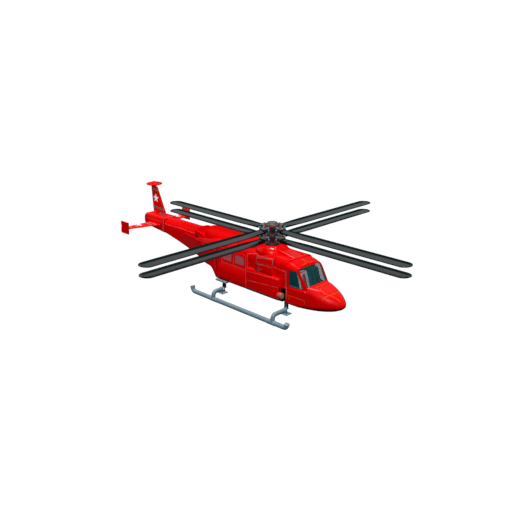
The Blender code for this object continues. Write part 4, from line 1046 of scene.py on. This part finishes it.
#                rows of height and radius, finish, sides
FIN_CAP_PARTS = ((((3.8403, 0.10), (3.93, 0.12)), ENAMEL_LOW_SHADE, 40),
                 (((3.93, 0.33), (3.935, 0.355), (3.95, 0.370), (3.965, 0.376), (3.982, 0.37), (3.997, 0.31),
                   (4.00, 0.29)), ENAMEL, 56),
                 (((4.00, 0.20), (4.04, 0.12), (4.069, 0.085), (4.07, 0.06)), ENAMEL, 40),
                 (((4.00, 0.24), (4.006, 0.238)), SEAM_DARK, 48))
cap = [turned("dish", FIN_CAP, *part) for part in FIN_CAP_PARTS]
settle(joined("fin_cap_dish", cap), "airframe", stands_for=("fin_cap",))
print("lamp and fin cap:", len(lamp.data.polygons), "and", len(cap[0].data.polygons), "faces")

# %% [markdown]
# ## Seats and bench
# Padding is never flat: it swells between its seams. The solid of each seat is turned into an even mesh
# of small faces, and a cloth simulation blows it up a little from inside. How far a point may move is
# limited, so the cushion stays in the room that its solid keeps free.

# %% Seats and bench
VOXEL = 0.014
SWELL = 0.016
FRAMES = 20
PRESSURE = 4.0
SEAT_FRAME = ((3.02, 0.81), (3.10, 0.81), (3.08, 1.12), (3.42, 1.13), (3.42, 1.17), (3.06, 1.20),
              (2.83, 2.07), (2.755, 2.06), (2.99, 1.12))
# The starboard seat's grey moulding glows faintly as painted light
#        side, y, cloth, moulding
SEATS = (("starboard", -0.34, SEAT_CLOTH, SEAT_SHELL_GLOWING), ("port", 0.34, SEAT_DARK, LINING))


def cushion(node, cloth, shrink):
    """Soft form of a seat's solid: remeshed, blown up by cloth pressure and smoothed."""
    low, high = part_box(node)
    piece = linked(f"{node}_cushion", nodes[node].data.copy())
    middle = (low + high) / 2
    for vertex in piece.data.vertices:
        for axis in range(3):
            away = vertex.co[axis] - middle[axis]
            vertex.co[axis] -= math.copysign(min(shrink, abs(away)), away)
    modified(piece, "REMESH", mode="VOXEL", voxel_size=VOXEL)
    start = [vertex.co.copy() for vertex in piece.data.vertices]
    step = piece.modifiers.new("cloth", "CLOTH")
    step.settings.use_pressure = True
    step.settings.uniform_pressure_force = PRESSURE
    step.settings.effector_weights.gravity = 0.0
    step.point_cache.frame_start = 1
    step.point_cache.frame_end = FRAMES
    for number in range(1, FRAMES + 1):
        bpy.context.scene.frame_set(number)
    applied(piece)
    bpy.context.scene.frame_set(1)
    for vertex, was in zip(piece.data.vertices, start):
        moved = vertex.co - was
        if moved.length > SWELL:
            vertex.co = was + moved * (SWELL / moved.length)
        for axis in range(3):
            vertex.co[axis] = min(max(vertex.co[axis], low[axis]), high[axis])
    modified(piece, "SUBSURF", levels=1)
    piece.data.materials.clear()
    piece.data.materials.append(cloth)
    piece.data.shade_smooth()
    settle(piece, "airframe", (node,))
    print(node, len(piece.data.polygons), "faces")


def seat_frame(side, y, moulding):
    """Bolsters beside and over the cushion, two side frames and a bar across the back."""
    pieces = []
    for start, end, low in ((-0.19, -0.08, 0.0), (0.08, 0.19, 0.0), (-0.19, 0.19, 0.76)):
        foot = 3.154 - 0.3325 * low
        face = [(foot, 1.22 + low), (foot + 0.012, 1.22 + low), (2.890, 2.05), (2.878, 2.05)]
        pieces.append(bevelled(prism("bolster", face, "y", y + start, y + end, moulding), 0.003))
    pieces += [bevelled(prism("frame", SEAT_FRAME, "y", y + edge - 0.012, y + edge + 0.012, moulding), 0.004)
               for edge in (-0.205, 0.205)]
    pieces.append(block("back", (2.745, y - 0.19, 1.90), (2.775, y + 0.19, 2.075), moulding, 0.008))
    settle(joined(f"seat_frame_{side}", pieces), "airframe")


for side, y, cloth, moulding in SEATS:
    cushion(f"seat_{side}", cloth, 0.012)
    seat_frame(side, y, moulding)
cushion("cabin_bench", BENCH_CLOTH, 0.010)
low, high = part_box("instrument_panel")
knobs = []
for i in range(6):
    centre = (low.x - 0.0005, -0.36 + 0.144 * i, (low.z + high.z) / 2 + 0.02)
    # Bezels in the same faintly glowing grey, painted light
    knobs += [turned("bezel", centre, ((-0.010, 0.052), (0.0, 0.055)), SEAT_SHELL_GLOWING, 28, "x"),
              turned("dial", centre, ((-0.012, 0.044), (-0.006, 0.045)), DIAL, 28, "x")]
knobs.append(block("handle", (low.x - 0.05, -0.26, high.z - 0.05), (low.x - 0.001, -0.20, high.z + 0.02),
                   ORANGE, 0.008))
settle(joined("panel_dials", knobs), "airframe")

# %% [markdown]
# ## Details that lie on the skin
# Seams, bands and rivets follow the skin they lie on. A ray is sent towards the skin from outside at
# every step of a line, and the detail is put where it lands. Seams are drawn 14 to 30 mm wide, wider
# than real ones, because a real one would be a third of a pixel here. A line is given on a plane: by x
# and z beside the hull, or by x and y above it.

# %% Details that lie on the skin
SIDE = -0.8
STARBOARD = (0, -1, 0)
SHOULDER = (0, -0.7, 0.7)
UP = (0, 0, 1)


def surface(*names):
    """Tree of all the triangles of some pieces, for rays."""
    points = []
    triangles = []
    for name in names:
        mesh = bpy.data.objects[name].data
        mesh.calc_loop_triangles()
        triangles += [tuple(len(points) + i for i in triangle.vertices) for triangle in mesh.loop_triangles]
        points += [vertex.co.copy() for vertex in mesh.vertices]
    return BVHTree.FromPolygons(points, triangles)


def touch(tree, point, out):
    """Where the skin lies under a point, seen from outside, and its normal there."""
    out = Vector(out).normalized()
    place, normal, face, distance = tree.ray_cast(Vector(point) + out * 0.4, -out)
    if place is None:
        print("no skin under", [round(c, 2) for c in point])
        return Vector(point), out
    return place, normal if normal.dot(out) > 0 else -normal


def steps_along(points, pitch):
    path = []
    for start, end in zip(points, points[1:]):
        start, end = Vector(start), Vector(end)
        count = max(1, round((end - start).length / pitch))
        path += [start.lerp(end, i / count) for i in range(count)]
    return path + [Vector(points[-1])]


def ribbon(tree, out, points, material, width=0.018, lift=0.0015):
    laid = [touch(tree, point, out) for point in steps_along(points, 0.04)]
    rings = []
    for i, (place, normal) in enumerate(laid):
        ahead = laid[min(i + 1, len(laid) - 1)][0] - laid[max(i - 1, 0)][0]
        across = ahead.cross(normal).normalized() * (width / 2)
        low, high = normal * -0.002, normal * lift
        rings.append([place - across + low, place - across + high, place + across + high,
                      place + across + low])
    return loft("ribbon", rings, material, None)


def decal(tree, out, outline, material, lift=0.002):
    """Flat mark: its outline and middle are laid on the skin."""
    laid = [touch(tree, point, out) for point in outline]
    middle = sum((place for place, normal in laid), Vector()) / len(laid)
    middle, normal = touch(tree, middle, out)
    points = [place + side * lift for place, side in laid] + [middle + normal * lift]
    faces = [(i, (i + 1) % len(laid), len(laid)) for i in range(len(laid))]
    return make("decal", points, faces, material, None, False)


def star(size):
    return [(size * reach * math.sin(math.pi * i / 5), size * reach * math.cos(math.pi * i / 5))
            for i, reach in enumerate((0.5, 0.2) * 5)]


def on_side(*points, y=SIDE):
    """Direction to the skin, and points given by x and z on a plane beside it."""
    return STARBOARD, [(x, y, z) for x, z in points]


def upright(x, low, high, y=SIDE):
    return on_side((x, low), (x, high), y=y)


def on_top(z, *points):
    """Direction to the skin, and points given by x and y on a level plane above it."""
    return UP, [(x, y, z) for x, y in points]


def on_shoulder(*points):
    return SHOULDER, points


hull = surface("cabin_wall_starboard_finished", "sponson_starboard_finished", "cabin_roof_skin", "nose_skin",
               "cab_skin", "aft_fuselage_skin", "tail_boom_skin", "cabin_floor_finished")
door = surface("cabin_door_starboard_finished")
tail = surface("tail_box_finished", "tail_fin_finished", "stabiliser_starboard_finished")
trough = surface("exhaust_trough_finished", "aft_fuselage_skin")
#        skin, finish, width, direction and points
LINES = (
    (hull, SEAM_GREY, 0.020, upright(0.272, 1.72, 2.15)),
    (hull, SEAM_GREY, 0.016, upright(0.276, 0.86, 1.66)),
    (hull, SEAM_DARK, 0.024, upright(0.87, 1.70, 2.08)),
    (hull, SEAM_GREY, 0.022, on_shoulder((0.80, -0.77, 2.17), (0.80, -0.75, 2.26), (0.79, -0.70, 2.37))),
    (hull, SEAM_GREY, 0.024, on_shoulder((1.68, -0.77, 2.13), (1.67, -0.76, 2.24), (1.63, -0.71, 2.36))),
    (hull, SEAM_GREY, 0.024, on_shoulder((0.272, -0.75, 2.29), (0.55, -0.71, 2.36), (0.79, -0.69, 2.40))),
    (hull, SEAM_GREY, 0.024, on_shoulder((0.80, -0.76, 2.26), (1.18, -0.74, 2.31), (1.63, -0.71, 2.36))),
    (hull, SEAM_GREY, 0.022, on_shoulder((0.272, -0.77, 2.12), (0.272, -0.75, 2.29))),
    (hull, SEAM_DARK, 0.020, on_shoulder((1.73, -0.50, 2.47), (1.73, -0.66, 2.40), (1.74, -0.74, 2.29),
                                         (1.75, -0.77, 2.12))),
    # Dark strip low on the sponson: painted shade of the belly
    (hull, BELLY_SHADE_STRIP, 0.085, on_side((0.29, 0.848), (2.08, 0.848))),
    (hull, SEAM_DARK, 0.016, upright(2.385, 1.40, 2.10)),
    (hull, SEAM_GREY, 0.014, on_side((0.84, 2.02), (1.12, 2.02))),
    (hull, SEAM_GREY, 0.014, on_side((0.88, 1.88), (1.19, 1.88))),
    (hull, SEAM_GREY, 0.014, on_side((0.88, 1.79), (1.10, 1.79))),
    (hull, SEAM_DARK, 0.020, upright(-1.60, 0.90, 2.10)),
    (hull, SEAM_ORANGE, 0.020, on_side((2.554, 0.96), (2.554, 1.135), (2.925, 1.129), (3.267, 1.11),
                                       (3.298, 0.971))),
    (hull, SEAM_ORANGE, 0.020, on_top(2.6, (2.386, -0.40), (2.386, 0.50))),
    (hull, SEAM_ORANGE, 0.018, on_top(2.6, (2.495, -0.02), (2.80, 0.075), (2.80, 0.30))),
    (hull, SEAM_ORANGE, 0.018, on_top(1.8, (3.50, -0.30), (3.53, 0.25))),
    (hull, SEAM_ORANGE, 0.018, on_top(1.8, (3.658, -0.282), (3.98, -0.373))),
    (hull, SEAM_ORANGE, 0.018, on_top(1.8, (4.165, -0.05), (4.16, 0.20), (4.02, 0.544))),
    (hull, SEAM_ORANGE, 0.018, on_top(1.8, (3.948, 0.381), (4.268, 0.193), (4.512, 0.106))),
    (tail, TEAL_BAND, 0.085, on_side((-7.03, 3.69), (-6.53, 3.69), y=0)),
    (tail, TEAL_BAND, 0.075, on_side((-6.97, 2.86), (-6.15, 2.80), y=0)),
    (tail, TEAL_BAND, 0.06, on_side((-6.94, 2.60), (-6.78, 2.60), y=0)),
    (tail, TEAL_BAND, 0.08, on_side((-6.45, 2.60), (-6.02, 2.60), y=0)),
    (tail, TEAL_BAND, 0.03, on_side((-7.02, 3.72), (-6.93, 2.60), y=0)),
    (tail, SEAM_GREY, 0.030, upright(-5.715, 1.90, 2.44)),
    (tail, SEAM_GREY, 0.030, on_top(2.7, (-5.715, -0.36), (-5.715, 0.0))),
    (tail, SEAM_GREY, 0.016, upright(-6.55, 1.90, 2.42, y=-1.4)),
    (tail, TEAL_BAND, 0.05, on_top(2.5, (-6.10, -0.55), (-6.80, -0.55))),
    (tail, TEAL_BAND, 0.05, on_top(2.5, (-6.20, -0.74), (-6.80, -0.66))),
    (tail, TEAL_BAND, 0.06, on_top(2.5, (-6.43, -1.68), (-6.82, -1.68))),
)
#        skin, finish, lift, direction and points
MARKS = (
    # White stars, glowing faintly as painted light
    (tail, WHITE_MARK_GLOWING, 0.002, on_side(*((-6.70 + a, 3.28 + b) for a, b in star(0.46)), y=0)),
    (tail, WHITE_MARK_GLOWING, 0.002, on_top(2.4, *((-6.62 + b, -1.14 + a) for a, b in star(0.44)))),
    (trough, YELLOW_MARK, 0.002, on_side((-2.49, 2.12), (-2.42, 1.98), (-2.35, 2.12), (-2.42, 2.26),
                                         y=-0.60)),
    # Dark maroon triangle at the rear of the trough's starboard wall: painted shadow
    (trough, OXIDE_AND_SHADE, 0.004, (STARBOARD, ((-3.35, -0.45, 2.44), (-3.14, -0.47, 2.13), (-3.36, -0.45, 2.19)))),
)
DOOR_LINES = (on_side((-1.21, 2.13), (-1.21, 1.615), (0.235, 1.60)), upright(-0.487, 2.13, 1.61),
              upright(0.235, 2.13, 1.61))
laid = [ribbon(skin, *line, material, width) for skin, material, width, line in LINES]
laid.append(ribbon(hull, *on_side((-4.14, 2.13), (-2.96, 2.05), (-2.57, 1.98)), ENAMEL, 0.05, 0.03))
laid += [decal(skin, *mark, material, lift) for skin, material, lift, mark in MARKS]
# Black strip on the sponson's front end, painted shade
laid.append(block("recess", (2.1003, -0.852, 0.80), (2.106, -0.775, 1.36), BLACK_AND_SHADE))
marks = joined("hull_lines", laid)
settle(joined("hull_lines", [marks, mirrored(marks, "port")]), "airframe")
marks = joined("door_lines_starboard", [ribbon(door, *line, SEAM_GREY) for line in DOOR_LINES])
settle(mirrored(marks, "door_lines_port"), "door_port")
settle(marks, "door_starboard")
print("lines and marks:", len(LINES) + len(MARKS) + len(DOOR_LINES), "on each side")

# %% [markdown]
# ## Rivets
# Rivets repeat in rows, so one domed head is copied onto a cloud of points by Geometry Nodes. Each
# point keeps the skin's normal, and the head is turned to it. The heads are drawn 24 to 44 mm wide, so
# that a row reads as a dotted line.


# %% Rivets
def rivet_group():
    group = bpy.data.node_groups.new("rivets", "GeometryNodeTree")
    sockets = {}
    for name, kind, way in (("Points", "Geometry", "INPUT"), ("Radius", "Float", "INPUT"),
                            ("Finish", "Material", "INPUT"), ("Heads", "Geometry", "OUTPUT")):
        made = group.interface.new_socket(name, in_out=way, socket_type=f"NodeSocket{kind}")
        sockets[name] = made.identifier
    start = add(group, "NodeGroupInput")
    head = add(group, "GeometryNodeMeshUVSphere", {"Segments": 8, "Rings": 5, "Radius": 1.0})
    toward = add(group, "GeometryNodeInputNamedAttribute", {"data_type": "FLOAT_VECTOR", "Name": "toward"})
    turn = add(group, "FunctionNodeAlignRotationToVector", {"axis": "Z"},
               {"Vector": toward.outputs["Attribute"]})
    vary = add(group, "FunctionNodeRandomValue", {"data_type": "FLOAT", 2: 0.92, 3: 1.08, "Seed": 7})
    size = add(group, "ShaderNodeMath", {"operation": "MULTIPLY"},
               {0: start.outputs["Radius"], 1: vary.outputs[1]}).outputs[0]
    flat = add(group, "ShaderNodeMath", {"operation": "MULTIPLY", 1: 0.4}, {0: size}).outputs[0]
    scale = add(group, "ShaderNodeCombineXYZ", links={0: size, 1: size, 2: flat})
    copies = add(group, "GeometryNodeInstanceOnPoints", links={
        "Points": start.outputs["Points"], "Instance": head.outputs["Mesh"],
        "Rotation": turn.outputs["Rotation"], "Scale": scale.outputs["Vector"]})
    real = add(group, "GeometryNodeRealizeInstances", links={0: copies.outputs["Instances"]})
    dressed = add(group, "GeometryNodeSetMaterial",
                  links={0: real.outputs[0], "Material": start.outputs["Finish"]})
    add(group, "NodeGroupOutput", links={0: dressed.outputs[0]})
    return group, sockets


RIVETS, RIVET_SOCKETS = rivet_group()


def riveted(name, rows, material, radius):
    """Rivet heads on rows of (skin, pitch, direction and points)."""
    spots = [touch(skin, point, out) for skin, pitch, (out, points) in rows
             for point in steps_along(points, pitch)]
    mesh = bpy.data.meshes.new(name)
    mesh.from_pydata([place for place, normal in spots], [], [])
    toward = mesh.attributes.new("toward", "FLOAT_VECTOR", "POINT")
    for i, (place, normal) in enumerate(spots):
        toward.data[i].vector = normal
    piece = linked(name, mesh)
    step = piece.modifiers.new("rivets", "NODES")
    step.node_group = RIVETS
    step[RIVET_SOCKETS["Radius"]] = radius
    step[RIVET_SOCKETS["Finish"]] = material
    applied(piece)
    piece.data.shade_smooth()
    print(name, len(spots), "rivets")
    return piece


#       skin, pitch, direction and points
ROWS = (
    (hull, 0.075, on_side((0.36, 1.60), (1.305, 1.642), (2.05, 1.67))),
    (hull, 0.085, on_side((0.36, 1.21), (1.25, 1.28), (2.05, 1.34))),
    (hull, 0.075, on_side((1.76, 2.09), (2.37, 2.045))),
    (hull, 0.070, upright(2.365, 2.02, 1.42)),
    (hull, 0.070, upright(2.43, 1.38, 0.98)),
    (hull, 0.070, on_side((0.84, 2.075), (1.67, 2.075))),
    (hull, 0.070, on_side((0.30, 1.745), (0.76, 1.745))),
    (hull, 0.080, on_shoulder((0.79, -0.73, 2.31), (1.20, -0.70, 2.36), (1.63, -0.69, 2.38))),
    (hull, 0.090, on_side((-5.60, 2.30), (-4.40, 2.30), (-3.45, 2.28))),
    (hull, 0.090, upright(-1.74, 1.00, 2.10)),
)
DARK_ROWS = (
    (hull, 0.095, on_top(2.6, (1.73, -0.52), (2.10, -0.52), (2.38, -0.43))),
    (tail, 0.085, on_top(2.7, (-7.05, -0.27), (-5.80, -0.28))),
    (tail, 0.085, on_side((-7.05, 2.34), (-5.80, 2.34))),
    (tail, 0.085, upright(-5.79, 2.28, 1.95)),
    (tail, 0.085, on_side((-6.62, 3.60), (-6.20, 2.95), y=0)),
    (tail, 0.065, on_side((-7.00, 2.40), (-6.60, 2.40), y=-1.4)),
    (tail, 0.065, on_side((-7.02, 1.93), (-6.60, 1.93), y=-1.4)),
)
light = riveted("light", ROWS, RIVET, 0.012)
dark = riveted("dark", DARK_ROWS, RIVET_DARK, 0.022)
heads = joined("rivet_heads", [light, dark])
settle(joined("rivet_heads", [heads, mirrored(heads, "port")]), "airframe")
